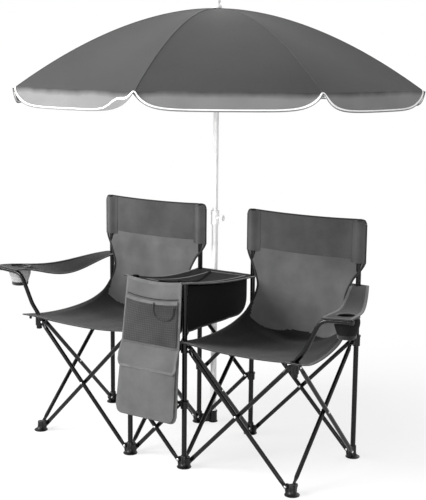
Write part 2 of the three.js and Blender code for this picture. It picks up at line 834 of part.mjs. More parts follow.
function panelSheet(topZ, bottomZ, extraOut, inset, thickness, rows) {
  const grid = [];
  for (let r = 0; r <= rows; r += 1) {
    const z = THREE.MathUtils.lerp(topZ, bottomZ, r / rows);
    const line = [];
    for (let c = 0; c <= clothColumns; c += 1) {
      const across = (2 * c) / clothColumns - 1;
      const x = across * (panelHalfWidth(z) - inset);
      line.push(new THREE.Vector3(x, frontY - panelOut(z) - extraOut, z));
    }
    grid.push(line);
  }
  return sheet(grid, thickness);
}

function organizerSolid() {
  const pocketSkin = pocketGap + pocketWall;
  const middle = pocketSkin / 2 + panelThickness / 2;
  const solids = [toSolid(panelSheet(panelTopHeight, panelBottomHeight, 0, 0, panelThickness, 3))];
  for (const [top, bottom, rows] of [[netTop, netBottom, 1], [pouchTop, panelBottomHeight, 2]]) {
    const full = toSolid(panelSheet(top, bottom, middle, pocketInset / 2, pocketSkin + tubeSideGap, rows));
    const roomOut = pocketGap / 2 + panelThickness / 2;
    const room = panelSheet(top + cutOverrun, bottom + pocketInset, roomOut, pocketInset, pocketGap, rows);
    solids.push(full.subtract(toSolid(room)));
  }
  return solids.reduce((sum, solid) => sum.add(solid));
}
addPiece("organizer", toGeometry(organizerSolid()), "grey");

// The flap starts on the panel, steps out over the pouch and hangs down its front
function flapGeometry() {
  const onPanel = panelThickness / 2 + seatGap + flapThickness / 2;
  const onPouch = onPanel + pocketGap + pocketWall + tubeSideGap / 2;
  const heights = [flapTop, (flapTop + pouchTop) / 2, pouchTop, (pouchTop + flapBottom) / 2, flapBottom];
  const shares = [0, 0.75, 1, 1, 1];
  const grid = heights.map((z, r) => Array.from({ length: clothColumns + 1 }, (_, c) => {
    const across = (2 * c) / clothColumns - 1;
    const out = THREE.MathUtils.lerp(onPanel, onPouch, shares[r]);
    return new THREE.Vector3(across * panelHalfWidth(z), frontY - panelOut(z) - out, z);
  }));
  return sheet(grid, flapThickness);
}
addPiece("organizer_flap", flapGeometry(), "grey");

// Umbrella pole in two lengths, with a clamp where the upper one slides into the lower
function pipe(x, y, low, high, outer, inner, sides) {
  const solid = toSolid(disc(x, y, low, high, outer, sides));
  return solid.subtract(toSolid(disc(x, y, low - cutOverrun, high + cutOverrun, inner, sides)));
}

const lowerPoleFoot = socketFloor + seatGap;
const lowerPole = pipe(poleX, poleY, lowerPoleFoot, lowerPoleTop, poleRadius, poleRadius - poleWall, 12);
addPiece("umbrella_lower_pole", toGeometry(lowerPole), "whiteTube");

const clampLow = lowerPoleTop - clampHeight * 0.7;
const clampHigh = clampLow + clampHeight;
function clampSolid() {
  const boss = bar([
    new THREE.Vector3(poleX, poleY, (clampLow + clampHigh) / 2),
    new THREE.Vector3(poleX + clampRadius + knobStem, poleY, (clampLow + clampHigh) / 2),
  ], knobStem * 1.7, 12);
  const lowerBore = disc(poleX, poleY, clampLow - cutOverrun, lowerPoleTop + seatGap, poleRadius + seatGap, 12);
  const upperBore = disc(poleX, poleY, clampLow, clampHigh + cutOverrun, upperPoleRadius + seatGap, 12);
  return joined(disc(poleX, poleY, clampLow, clampHigh, clampRadius, 20), boss)
    .subtract(toSolid(lowerBore))
    .subtract(toSolid(upperBore));
}
addPiece("pole_clamp", toGeometry(clampSolid()), "whiteMoulding");

function knobSolid() {
  const centreZ = (clampLow + clampHigh) / 2;
  const start = poleX + clampRadius + knobStem + seatGap;
  const disk = bar([
    new THREE.Vector3(start, poleY, centreZ),
    new THREE.Vector3(start + knobStem, poleY, centreZ),
    new THREE.Vector3(start + knobReach / 2, poleY, centreZ),
  ], knobStem, 12);
  const count = 6;
  const lobes = Array.from({ length: count }, (_, i) => {
    const angle = (i / count) * 2 * Math.PI;
    const reach = knobRadius - knobStem;
    const y = poleY + reach * Math.cos(angle);
    const z = centreZ + reach * Math.sin(angle);
    return bar([
      new THREE.Vector3(start + knobStem, y, z),
      new THREE.Vector3(start + knobReach, y, z),
    ], knobStem, 10);
  });
  const core = bar([
    new THREE.Vector3(start + knobStem, poleY, centreZ),
    new THREE.Vector3(start + knobReach, poleY, centreZ),
  ], knobRadius - knobStem / 2, 18);
  return joined(disk, core, ...lobes);
}
addPiece("clamp_knob", toGeometry(knobSolid()), "whiteMoulding");

const upperPoleTop = canopyTop + finialHeight / 4;
const finialProfile = [
  [0, upperPoleTop - finialHeight / 8],
  [finialRadius * 1.3, upperPoleTop],
  [finialRadius * 1.3, upperPoleTop + finialHeight / 5],
  [finialRadius * 0.8, upperPoleTop + finialHeight / 3],
  [finialRadius, upperPoleTop + finialHeight * 0.6],
  [finialRadius * 0.6, upperPoleTop + finialHeight],
  [0, upperPoleTop + finialHeight * 1.05],
];
addPiece("umbrella_upper_pole", toGeometry(joined(
  disc(poleX, poleY, lowerPoleTop - upperPoleLap, upperPoleTop, upperPoleRadius, 12),
  turned(finialProfile, poleX, poleY, 14),
)), "whiteTube");

// Height of the canopy along a rib, which runs straight between the places where the cloth is sewn to it
const ribHole = (upperPoleRadius + seatGap) / canopyRadius / Math.cos(Math.PI / ribCount);
const domeShares = [ribHole, 0.3, 0.52, 0.7, 0.86, 1];

function domeHeight(share) {
  const curve = (at) => canopyTop - (canopyTop - canopyRim) * at ** canopyCurve;
  const next = Math.max(1, domeShares.findIndex((at) => at >= share));
  const [low, high] = [domeShares[next - 1], domeShares[next]];
  return THREE.MathUtils.lerp(curve(low), curve(high), (share - low) / (high - low));
}

// Canopy: eight panels drawn tight between the ribs, each with a hanging valance cut round at its corners
function canopyPoint(share, angle, lift) {
  const step = (2 * Math.PI) / ribCount;
  const twist = THREE.MathUtils.degToRad(canopyTwist);
  const rib = Math.floor((angle - twist) / step + 1e-9);
  const from = twist + rib * step;
  const part = (angle - from) / step;
  const radius = share * canopyRadius;
  const height = domeHeight(share);
  const a = new THREE.Vector3(Math.cos(from), Math.sin(from), 0).multiplyScalar(radius);
  const b = new THREE.Vector3(Math.cos(from + step), Math.sin(from + step), 0).multiplyScalar(radius);
  const flat = a.lerp(b, part);
  const dip = panelDip * Math.sin(Math.PI * part) * Math.sin(Math.PI * Math.min(1, share));
  return new THREE.Vector3(poleX + flat.x, poleY + flat.y, height - dip + lift);
}

const panelShares = [0, 0.09, 0.35, 0.65, 0.91];
const notchShares = [0.1, 0.75, 1, 1, 0.75];

function canopyGeometry() {
  const columns = panelShares.length * ribCount;
  const step = (2 * Math.PI) / ribCount;
  const twist = THREE.MathUtils.degToRad(canopyTwist);
  const angleOf = (c) => {
    const panel = Math.floor(c / panelShares.length);
    return twist + (panel + panelShares[c % panelShares.length]) * step;
  };
  const skin = (lift, inward) => {
    const around = Array.from({ length: columns }, (_, c) => angleOf(c));
    const rows = domeShares.map((share) => around.map((angle) => canopyPoint(share, angle, lift)));
    for (const fall of [0.55, 1]) {
      rows.push(Array.from({ length: columns }, (_, c) => {
        const point = canopyPoint(1, angleOf(c), 0);
        const centre = new THREE.Vector3(poleX, poleY, point.z);
        const out = point.clone().sub(centre).normalize();
        const drop = valanceDrop * notchShares[c % panelShares.length] * fall;
        point.addScaledVector(out, valanceFlare * fall - inward);
        point.z -= drop;
        return point;
      }));
    }
    return rows;
  };
  const over = skin(0, 0);
  const under = skin(-canopyThickness, canopyThickness);
  const loop = [...over, ...under.reverse()];
  const points = loop.flat();
  const faces = [];
  for (let r = 0; r < loop.length; r += 1) {
    const nextRow = (r + 1) % loop.length;
    for (let c = 0; c < columns; c += 1) {
      const nextColumn = (c + 1) % columns;
      const a = r * columns + c;
      const b = r * columns + nextColumn;
      const d = nextRow * columns + nextColumn;
      const e = nextRow * columns + c;
      faces.push(a, b, d, a, d, e);
    }
  }
  return closedGeometry(points, faces);
}
addPiece("umbrella_canopy", canopyGeometry(), "fabric");

// Crown with its eight ribs, and the runner with the stretchers that prop them
function ribPoint(index, share, lift) {
  const angle = THREE.MathUtils.degToRad(canopyTwist) + (index * 2 * Math.PI) / ribCount;
  const height = domeHeight(share);
  return new THREE.Vector3(
    poleX + Math.cos(angle) * share * canopyRadius,
    poleY + Math.sin(angle) * share * canopyRadius,
    height - lift,
  );
}

const crownTop = domeHeight((2 * crownRadius) / canopyRadius) - canopyThickness - seatGap;
const ribShares = [...domeShares.slice(0, -1), 0.985];
function crownSolid() {
  const lift = canopyThickness + ribDrop;
  const ribs = Array.from({ length: ribCount }, (_, i) => bar(
    ribShares.map((share) => ribPoint(i, share, lift)), ribRadius, 5,
  ));
  const bore = disc(
    poleX, poleY, crownTop - crownHeight - cutOverrun, crownTop + cutOverrun, upperPoleRadius + seatGap, 12,
  );
  return joined(disc(poleX, poleY, crownTop - crownHeight, crownTop, crownRadius, 16), ...ribs)
    .subtract(toSolid(bore));
}
addPiece("umbrella_crown_and_ribs", toGeometry(crownSolid()), "whiteTube");

const flangeHalfShare = 0.15;
function runnerSolid() {
  const share = stretcherReach / canopyRadius;
  const middleZ = runnerHeight + runnerLength / 2;
  const lift = canopyThickness + ribDrop + ribRadius * 2.4 + seatGap;
  const arms = Array.from({ length: ribCount }, (_, i) => {
    const end = ribPoint(i, share, lift);
    const start = new THREE.Vector3(poleX, poleY, middleZ)
      .lerp(new THREE.Vector3(end.x, end.y, middleZ), runnerRadius / stretcherReach / 2);
    return bar([start, end], ribRadius, 5);
  });
  const top = runnerHeight + runnerLength;
  const flangeHalf = runnerLength * flangeHalfShare;
  const bore = disc(poleX, poleY, runnerHeight - cutOverrun, top + cutOverrun, upperPoleRadius + seatGap, 12);
  return joined(
    disc(poleX, poleY, runnerHeight, top, runnerRadius, 14),
    disc(poleX, poleY, middleZ - flangeHalf, middleZ + flangeHalf, runnerFlange, 16),
    ...arms,
  ).subtract(toSolid(bore));
}
addPiece("umbrella_runner_and_stretchers", toGeometry(runnerSolid()), "whiteMoulding");

// The origin is on the floor, under the middle of the whole
const bounds = new THREE.Box3().setFromObject(model);
const middle = bounds.getCenter(new THREE.Vector3());
model.position.set(-middle.x, -middle.y, -bounds.min.z);

export default model;
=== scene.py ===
import math

import bpy
from mathutils import Matrix, Vector, noise


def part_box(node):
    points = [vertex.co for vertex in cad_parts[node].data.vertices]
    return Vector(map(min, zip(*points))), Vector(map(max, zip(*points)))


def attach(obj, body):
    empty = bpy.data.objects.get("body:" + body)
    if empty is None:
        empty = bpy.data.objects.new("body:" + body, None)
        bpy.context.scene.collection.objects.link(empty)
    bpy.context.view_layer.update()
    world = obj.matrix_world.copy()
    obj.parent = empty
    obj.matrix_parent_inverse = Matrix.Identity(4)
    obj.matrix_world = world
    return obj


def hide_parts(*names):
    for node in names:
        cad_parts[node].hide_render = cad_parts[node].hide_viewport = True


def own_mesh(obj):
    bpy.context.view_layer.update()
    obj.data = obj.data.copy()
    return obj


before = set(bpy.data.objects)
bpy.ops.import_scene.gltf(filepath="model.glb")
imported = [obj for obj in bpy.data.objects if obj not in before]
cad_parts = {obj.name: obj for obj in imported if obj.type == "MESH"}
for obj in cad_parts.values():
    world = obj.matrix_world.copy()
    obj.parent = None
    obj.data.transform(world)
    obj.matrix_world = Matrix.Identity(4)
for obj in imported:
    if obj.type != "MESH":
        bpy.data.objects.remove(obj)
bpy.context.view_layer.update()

# Units: sizes and places are in millimetres, with the middle of the frame at x 0, y 0
MM = 0.001

# Frame
SEAT_BAY = 456
FRAME_DEPTH = 456
PIVOT_OUT = 22
FOOT_PIVOT = 28
HUB_PIVOT = 450
TUBE_RADIUS = 8
TUBE_SIDE_GAP = 0.3
POST_RADIUS = 9.5
REAR_POST_TOP = 898
TABLE_POST_TOP = 684
SLEEVE_RADIUS = 14.1
SLEEVE_BORE = 9.9
HUB_BELOW = 17
HUB_ABOVE = 24
MID_HALF = 15
FLAT_THICKNESS = 4.4
FLAT_WIDTH = 17
RIVET_RADIUS = 4.6
RIVET_HEIGHT = 2.6
LUG_ROUND = 9.5
LUG_HALF = 5.8
LUG_STEPS = 12
BEVEL = 1.2
# Radius of the small flat that closes a turned end
TIP = 0.05

# Armrest tube, strap and cup
ARM_KNEE_OUT = 36
ARM_KNEE_HEIGHT = 515
ARM_TOP_OUT = 94
ARM_TOP_HEIGHT = 632
ARM_TIP_OUT = 212
ARM_TIP_HEIGHT = 640
ARM_BEND = 34
STRAP_REAR_WIDTH = 68
STRAP_REAR_HEIGHT = 660
STRAP_SAG = 20
STRAP_INNER_SAG = {"left": 30, "right": 4}
STRAP_THICKNESS = 4
STRAP_OVERHANG = 15
STRAP_BINDING = (12, 5.2, "binding")
STRAP_LIFT = TUBE_RADIUS + 0.6 + STRAP_THICKNESS / 2
CUP_RADIUS = 39
CUP_FOOT_RADIUS = 30
CUP_DEPTH = 72
CUP_BULGE = 9
CUP_WALL = 1.4
CUP_FROM_FRONT = 62

# Seat sling
SLING_THICKNESS = 2.2
OUTER_TIP = 45
INNER_TIP = 8
FRONT_TIP = 44
INNER_FRONT_TIP = 30
CORNER_RISE = 3
HEM_SAG = 20
RIGHT_HEM_SLACK = 13
BELLY_SAG = 48
FRONT_SAG = 12
BACK_DIP = 8
WAIST_IN = 38
WAIST_FORWARD = 28
WAIST_HEIGHT = 612
SLEEVE_BOTTOM = 745
SLEEVE_TOP = 904
SLEEVE_OUT = 25
SLEEVE_IN = 31
SLEEVE_CORNER = 13
SEAT_CORNER = 475.8
SEAT_REAR_INSET = 20

# Table, cooler and organizer
TABLE_FRONT = 688
FRONT_DIP = 10
LEFT_DIP = 20
RIGHT_DIP = 9
TABLE_REAR = 642
TABLE_SAG = 10
TABLE_OVERHANG = 14
TABLE_REAR_HEM = 16
TABLE_THICKNESS = 3
TABLE_BINDING = (12, 5.0, "binding")
LID_LEFT = -62
LID_MARGIN = 16
LID_GAP = 0.4
LID_ZIP = [(96, -204), (92, -180), (82, -136), (64, -84), (43, -30), (16, 30), (-11, 89), (-52, 190)]
ZIP_END = [(14, -231), (40, -234), (72, -235), (100, -232)]
COOLER_DEPTH = 140
COOLER_CORNER = 46
COOLER_TOP_GAP = 11.8
PANEL_TOP = 689.5
PANEL_TOP_OUT = 15.8
PANEL_TOP_WIDTH = 240
PANEL_BOTTOM = 184
PANEL_BOTTOM_OUT = 70
PANEL_BOTTOM_WIDTH = 274
NET_TOP = 622
NET_BOTTOM = 458
POUCH_TOP = 402
FLAP_TOP = 446
FLAP_BOTTOM = 364
FLAP_OUT = 14.5

# Umbrella
POLE_X = -80
POLE_Y = 265
POLE_RADIUS = 12.5
POLE_TOP = 862
UPPER_POLE_RADIUS = 10.9
POLE_OVERLAP = 380
CLAMP_LENGTH = 56
KNOB_OUT = 21.3
KNOB_PROFILE = [(4.4, 0), (4.4, 4), (10.5, 5), (12.2, 6.5), (12.4, 16), (11.2, 18), (6, 18.6), (0.1, 18.8)]
FINIAL_WIDER = 1.5
FINIAL_LONGER = 1.3
CANOPY_RADIUS = 805
CANOPY_TOP = 1668
CANOPY_RIM = 1368
CANOPY_CURVE = 1.86
CANOPY_TWIST = math.radians(14.5)
CANOPY_THICKNESS = 1.4
PANEL_DIP = 10
VALANCE_DROP = 66
NOTCH_SHARE = 0.06
WIDE_NOTCH_SHARE = 0.09
HEM_RAISE = 7
HEM_FOLD = 24
VALANCE_FLARE = 6
RIB_COUNT = 8
RIB_RADIUS = 2.6
RIB_LIFT = 7.6
RIB_BORE = 11.2
RUNNER_HEIGHT = 1404
RUNNER_LENGTH = 46
STRETCHER_REACH = 395

# Bodies of the two inner rear posts
INNER_BODY = {"left": "frame_root", "right": "right_rear_inner_post"}

FLOOR_WHITE_SHARE = 0.72
WORLD_LIGHT = 0.56
CLOTH_ROUGHNESS = 0.86
TAPE_SIDES = 12

# Camera, in metres and degrees
CAMERA_PLACE = (2.3828, -3.6152, 1.4755)
CAMERA_YAW = 33.968
CAMERA_PITCH = 9.866
CAMERA_ROLL = 0.567
CAMERA_LENS = 79.063

# Places worked out from the sizes above
INNER_X = (SEAT_BAY + 2 * PIVOT_OUT) / 4
OUTER_X = INNER_X + SEAT_BAY
FRONT_Y = -FRAME_DEPTH / 2
REAR_Y = FRAME_DEPTH / 2
MID_PIVOT = (FOOT_PIVOT + HUB_PIVOT) / 2
SIDE_OFFSET = TUBE_RADIUS + TUBE_SIDE_GAP
LID = (LID_LEFT, INNER_X - LID_MARGIN, FRONT_Y + LID_MARGIN, REAR_Y - LID_MARGIN * 1.5)
POLE = Vector((POLE_X, POLE_Y, 0))
X_AXIS = Vector((1, 0, 0))
Y_AXIS = Vector((0, 1, 0))
Z_AXIS = Vector((0, 0, 1))

pole_low, pole_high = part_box("umbrella_lower_pole")
ORIGIN = Vector((
    (pole_low.x + pole_high.x) / 2 - POLE_X * MM, (pole_low.y + pole_high.y) / 2 - POLE_Y * MM, 0))


def to_frame(point):
    return Vector(point) * MM + ORIGIN


def lerp(a, b, share):
    return a + (b - a) * share


def steps(low, high, count):
    """Evenly spaced values from low to high, both ends included"""
    return [lerp(low, high, k / count) for k in range(count + 1)]


def clamp(value, low=0.0, high=1.0):
    return max(low, min(high, value))


def ease(low, high, value):
    share = clamp((value - low) / (high - low))
    return share * share * (3 - 2 * share)


def waver(*place):
    return noise.noise(Vector(place))


# Materials
def add_node(tree, kind, inputs=(), **settings):
    """A new node; inputs gives each socket its value, or a socket that is linked to it"""
    node = tree.nodes.new(kind)
    for key, value in settings.items():
        setattr(node, key, value)
    for key, value in dict(inputs).items():
        if isinstance(value, bpy.types.NodeSocket):
            tree.links.new(value, node.inputs[key])
        else:
            node.inputs[key].default_value = value
    return node


def mixed(tree, factor, low, high, **settings):
    inputs = {0: factor, 6: low, 7: high}
    return add_node(tree, "ShaderNodeMix", inputs, data_type="RGBA", **settings).outputs[2]


def remapped(tree, value, low, high, to_low=0.0, to_high=1.0):
    inputs = enumerate((value, low, high, to_low, to_high))
    return add_node(tree, "ShaderNodeMapRange", inputs).outputs[0]


def combined(tree, operation, a, b):
    return add_node(tree, "ShaderNodeMath", {0: a, 1: b}, operation=operation).outputs[0]


def noise_of(tree, place, scale, detail, roughness):
    inputs = {"Vector": place, "Scale": scale, "Detail": detail, "Roughness": roughness}
    return add_node(tree, "ShaderNodeTexNoise", inputs).outputs[0]


def object_place(tree):
    return add_node(tree, "ShaderNodeTexCoord").outputs["Object"]


def principled(name, colour, roughness, **inputs):
    """A material, its node tree and its shader"""
    material = bpy.data.materials.new(name)
    material.use_nodes = True
    shader = material.node_tree.nodes["Principled BSDF"]
    for key, value in {"Base_Color": colour, "Roughness": roughness, **inputs}.items():
        shader.inputs[key.replace("_", " ")].default_value = value
    return material, material.node_tree, shader


def link_surface(tree, shader, colour, rough, height, strength, distance):
    """Links a shader's colour, roughness and relief"""
    inputs = {"Height": height, "Strength": strength, "Distance": distance}
    bump = add_node(tree, "ShaderNodeBump", inputs).outputs[0]
    for key, source in (("Base Color", colour), ("Roughness", rough), ("Normal", bump)):
        tree.links.new(source, shader.inputs[key])


def grey(value):
    """Linear colour of a neutral grey given as a share of white on screen"""
    return (*[value ** 2.2] * 3, 1)


def cloth_material(name, dark, light, pitch=1.1, sheen=0.25, blotch=5.0, contrast=(0.82, 1.06), tint=None):
    """Plain-woven cloth: yarns across each other on the cloth's own lengths, and soft uneven shade"""
    material, tree, shader = principled(
        name, grey(light), CLOTH_ROUGHNESS, Sheen_Weight=sheen, Sheen_Roughness=0.5, Specular_IOR_Level=0.25)
    along = add_node(tree, "ShaderNodeUVMap", uv_map="cloth").outputs[0]
    placed = object_place(tree)
    yarns = {"Scale": 1 / (pitch * MM) * math.pi / 10, "Distortion": 0.6, "Detail": 1.0, "Vector": along}
    waves = [add_node(tree, "ShaderNodeTexWave", yarns, wave_type="BANDS", bands_direction=direction)
             for direction in ("X", "Y")]
    weave = combined(tree, "MULTIPLY", *(wave.outputs["Fac"] for wave in waves))
    shade = remapped(tree, noise_of(tree, placed, blotch, 4.0, 0.55), 0.32, 0.68)
    colour = mixed(tree, shade, grey(dark), grey(light))
    if tint:
        colour = tint(tree, placed, colour)
    yarn = remapped(tree, weave, 0.0, 0.6, *contrast)
    fine = noise_of(tree, placed, 160.0, 2.0, 0.6)
    rough = remapped(tree, fine, 0.3, 0.7, CLOTH_ROUGHNESS - 0.06, CLOTH_ROUGHNESS + 0.06)
    thread = mixed(tree, 1.0, colour, yarn, blend_type="MULTIPLY")
    link_surface(tree, shader, thread, rough, weave, 0.35, 0.0006)
    return material


def hard_material(name, dark, light, roughness, **inputs):
    """Moulded plastic or a coated tube: fine grain, uneven gloss and slightly worn shade"""
    material, tree, shader = principled(name, grey(light), roughness, **inputs)
    placed = object_place(tree)
    broad = noise_of(tree, placed, 22.0, 4.0, 0.6)
    colour = mixed(tree, remapped(tree, broad, 0.35, 0.65), grey(dark), grey(light))
    rough = remapped(tree, broad, 0.3, 0.7, roughness - 0.05, roughness + 0.07)
    link_surface(tree, shader, colour, rough, noise_of(tree, placed, 420.0, 2.0, 0.55), 0.3, 0.00012)
    return material


def pale_rim(tree, placed, dome):
    """Turns the dark dome pale a little below its rim, softly, as printed or faded cloth does"""
    height = add_node(tree, "ShaderNodeSeparateXYZ", {0: placed}).outputs["Z"]
    uneven = remapped(tree, noise_of(tree, placed, 7.0, 3.0, 0.6), 0.3, 0.7, -0.006, 0.006)
    rim = CANOPY_RIM * MM
    share = remapped(tree, combined(tree, "ADD", height, uneven), rim + 0.002, rim - 0.020)
    tone = remapped(tree, noise_of(tree, placed, 4.0, 2.0, 0.5), 0.3, 0.7)
    return mixed(tree, share, dome, mixed(tree, tone, grey(0.43), grey(0.50)))


finishes = {
    "back": cloth_material("back_cloth", 0.27, 0.35, blotch=6.0),
    # The seat cloths are the back cloth with painted shade: darker, as under the umbrella's shade, and
    # darker still on the right chair, away from the light on the left.
    "seat_left": cloth_material("left_seat_cloth_painted_shade", 0.075, 0.10, blotch=6.0, sheen=0.1),
    "seat_right": cloth_material("right_seat_cloth_painted_shade", 0.055, 0.08, blotch=6.0, sheen=0.1),
    # The two armrest straps are one cloth as lit and shaded copies: the left one lighter with painted light,
    # the right one darker with painted shade.
    "arm_left": cloth_material("left_arm_cloth_painted_light", 0.085, 0.11, blotch=8.0, sheen=0.1),
    "arm_right": cloth_material("right_arm_cloth_painted_shade", 0.045, 0.065, blotch=8.0, sheen=0.1),
    "head": cloth_material("head_band_cloth", 0.20, 0.27, blotch=7.0),
    "binding": cloth_material("binding_tape", 0.08, 0.12, pitch=0.8, blotch=20.0),
    "organizer": cloth_material("organizer_cloth", 0.28, 0.34, blotch=9.0),
    "piping": cloth_material("organizer_binding", 0.31, 0.37, pitch=0.8, blotch=25.0),
    "net": cloth_material("net_cloth", 0.13, 0.19, pitch=8.0, blotch=12.0, contrast=(0.6, 1.5)),
    "table": cloth_material("table_cloth", 0.04, 0.06, blotch=8.0, sheen=0.0),
    "zip": hard_material("zip_tape", 0.004, 0.008, 0.8, Specular_IOR_Level=0.1),
    "cooler": cloth_material("cooler_cloth", 0.015, 0.025, blotch=7.0, sheen=0.0),
    "canopy": cloth_material("canopy_cloth", 0.21, 0.25, blotch=2.0, sheen=0.1, tint=pale_rim),
    "canopy_seam": cloth_material("canopy_seam_tape", 0.15, 0.19, pitch=0.8, blotch=20.0),
    "hem": cloth_material("white_hem_tape", 0.94, 0.98, pitch=0.8, blotch=20.0),
    # The cup nets are one net in two copies that paint what shows through it: the white background behind
    # the left cup, and shade behind the right cup.
    "cup_net_left": cloth_material("cup_net_painted_white_behind", 0.52, 0.64, pitch=2.0, blotch=20.0),
    "cup_net_right": cloth_material("cup_net_painted_shade_behind", 0.025, 0.045, pitch=3.0, blotch=20.0, sheen=0.0),
    "tube": hard_material("coated_tube", 0.015, 0.03, 0.24, Specular_IOR_Level=0.3),
    "moulding": hard_material("black_moulding", 0.015, 0.03, 0.42, Specular_IOR_Level=0.3),
    "rivet": hard_material("zinc_rivet", 0.75, 0.88, 0.3, Metallic=0.9),
    "white_tube": hard_material("white_pole", 0.86, 0.93, 0.3, Coat_Weight=0.2),
    "white_moulding": hard_material("white_moulding", 0.88, 0.95, 0.45),
}


class Shape:
    """Points, faces, finishes and cloth lengths of one piece, gathered before its mesh is made"""

    def __init__(self):
        self.points, self.faces, self.face_finishes = [], [], []
        self.lengths, self.normals, self.finish_names = [], [], []

    def finish_index(self, finish):
        if finish not in self.finish_names:
            self.finish_names.append(finish)
        return self.finish_names.index(finish)

    def add(self, points, faces, finish, lengths=None, normals=None):
        start = len(self.points)
        self.points.extend(Vector(point) for point in points)
        self.faces.extend([start + corner for corner in face] for face in faces)
        self.face_finishes.extend([self.finish_index(finish)] * len(faces))
        self.lengths.extend(lengths or [(point[0], point[2]) for point in points])
        self.normals.extend(normals or [Vector()] * len(points))

    def piece(self, name, body, slot, *nodes):
        """Makes the object, with its faces outward, and lets it ride on its body"""
        mesh = bpy.data.meshes.new(name)
        mesh.from_pydata([to_frame(point) for point in self.points], [], self.faces)
        for finish in self.finish_names:
            mesh.materials.append(finishes[finish])
        mesh.polygons.foreach_set("material_index", self.face_finishes)
        mesh.polygons.foreach_set("use_smooth", [True] * len(self.faces))
        layer = mesh.uv_layers.new(name="cloth")
        corners = [0] * len(mesh.loops)
        mesh.loops.foreach_get("vertex_index", corners)
        layer.data.foreach_set("uv", [value * MM for corner in corners for value in self.lengths[corner]])
        mesh.validate()
        mesh.update()
        if any(normal.length_squared > 0 for normal in self.normals):
            mesh.normals_split_custom_set_from_vertices(self.normals)
        else:
            mesh.set_sharp_from_angle(angle=math.radians(38))
        made = bpy.data.objects.new(name, mesh)
        bpy.context.scene.collection.objects.link(made)
        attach(made, body)
        if nodes:
            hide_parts(*nodes)
        return made


def skin(shape, rings, finish, capped=True, lengths=None):
    """Joins rings of points into a tube, with its ends closed unless the tube is a ring itself"""
    count = len(rings[0])
    last = (len(rings) - 1) * count
    faces = []
    for start in range(0, last, count):
        for a in range(start, start + count):
            b = start + (a + 1 - start) % count
            faces.append((a, b, b + count, a + count))
    if capped:
        faces += [tuple(reversed(range(count))), tuple(range(last, last + count))]
    shape.add([point for ring in rings for point in ring], faces, finish, lengths)


def circle(centre, axis_a, axis_b, radius_a, radius_b, sides, power=2.0):
    """Points of an ellipse, squarer where power is above 2"""
    points = []
    for s in range(sides):
        angle = 2 * math.pi * s / sides
        along_a, along_b = (
            math.copysign(abs(part) ** (2 / power), part) for part in (math.cos(angle), math.sin(angle)))
        points.append(centre + axis_a * (radius_a * along_a) + axis_b * (radius_b * along_b))
    return points


def turned(shape, centre, profile, finish, sides=32, axis=Z_AXIS, closed=False):
    """Revolves (radius, along) pairs about an axis; a closed profile makes a ring with a bore"""
    axis = axis.normalized()
    first = axis.orthogonal().normalized()
    second = axis.cross(first)
    centre = Vector(centre).to_3d()
    rings = [circle(centre + axis * along, first, second, radius, radius, sides)
             for radius, along in profile]
    skin(shape, rings + rings[:1] if closed else rings, finish, not closed)


def swept(shape, path, radius, finish, sides=20, wide=None):
    """A round bar along a path; wide gives it another half width across the first side"""
    side = None
    rings = []
    for i, point in enumerate(path):
        along = (path[min(i + 1, len(path) - 1)] - path[max(i - 1, 0)]).normalized()
        start = side or along.orthogonal()
        side = (start - along * start.dot(along)).normalized()
        rings.append(circle(point, side, along.cross(side), wide or radius, radius, sides))
    skin(shape, rings, finish)


def rivet(shape, centre, axis, radius=RIVET_RADIUS, height=RIVET_HEIGHT):
    profile = [(radius, -1.0), (radius, height * 0.25), (radius * 0.9, height * 0.6),
               (radius * 0.65, height * 0.88), (radius * 0.3, height), (0.02, height * 1.01)]
    turned(shape, centre, profile, "rivet", 20, axis)


def plate(shape, outline, origin, axis_u, half):
    """A flat moulded plate with an outline along axis_u and up, and with bevelled edges"""
    axis_w = axis_u.cross(Z_AXIS)
    inset = []
    for i, (u, v) in enumerate(outline):
        edge = (Vector(outline[(i + 1) % len(outline)]) - Vector(outline[i - 1])).normalized()
        inset.append((u - edge.y * BEVEL, v + edge.x * BEVEL))
    layers = [(inset, -half), (outline, -half + BEVEL), (outline, half - BEVEL), (inset, half)]
    rings = [[origin + axis_u * u + Z_AXIS * v + axis_w * height for u, v in points]
             for points, height in layers]
    skin(shape, rings, "moulding")


def lug(shape, x, y, pivot, direction, below=LUG_ROUND):
    """A rounded plate from the middle of a bracket or foot out past its pivot"""
    arc = [(PIVOT_OUT + LUG_ROUND * math.sin(angle), LUG_ROUND * -math.cos(angle))
           for angle in steps(0, math.pi, LUG_STEPS)]
    if below > LUG_ROUND:
        outline = [(0, -below), (PIVOT_OUT + 2, -below), *arc[2:], (0, LUG_ROUND)]
    else:
        outline = [(0, -LUG_ROUND), *arc, (0, LUG_ROUND)]
    plate(shape, outline, Vector((x, y, pivot)), Vector((*direction, 0)), LUG_HALF)


corners = {
    "left_front_outer": (-OUTER_X, FRONT_Y, [(1, 0), (0, 1)], 0),
    "left_front_inner": (-INNER_X, FRONT_Y, [(-1, 0), (1, 0), (0, 1)], TABLE_POST_TOP),
    "right_front_inner": (INNER_X, FRONT_Y, [(-1, 0), (1, 0), (0, 1)], TABLE_POST_TOP),
    "right_front_outer": (OUTER_X, FRONT_Y, [(-1, 0), (0, 1)], 0),
    "left_rear_outer": (-OUTER_X, REAR_Y, [(1, 0), (0, -1)], REAR_POST_TOP),
    "left_rear_inner": (-INNER_X, REAR_Y, [(-1, 0), (1, 0), (0, -1)], REAR_POST_TOP),
    "right_rear_inner": (INNER_X, REAR_Y, [(-1, 0), (1, 0), (0, -1)], REAR_POST_TOP),
    "right_rear_outer": (OUTER_X, REAR_Y, [(-1, 0), (0, -1)], REAR_POST_TOP),
}


# Feet and posts
FOOT_PROFILE = [(TIP, 0), (24.5, 0), (26.4, 0.7), (27, 2.2), (26.5, 3.8), (24, 5.2), (19.5, 7.6),
                (16.2, 10.4), (14.6, 13.5), (13.4, 17), (12.9, 24)]


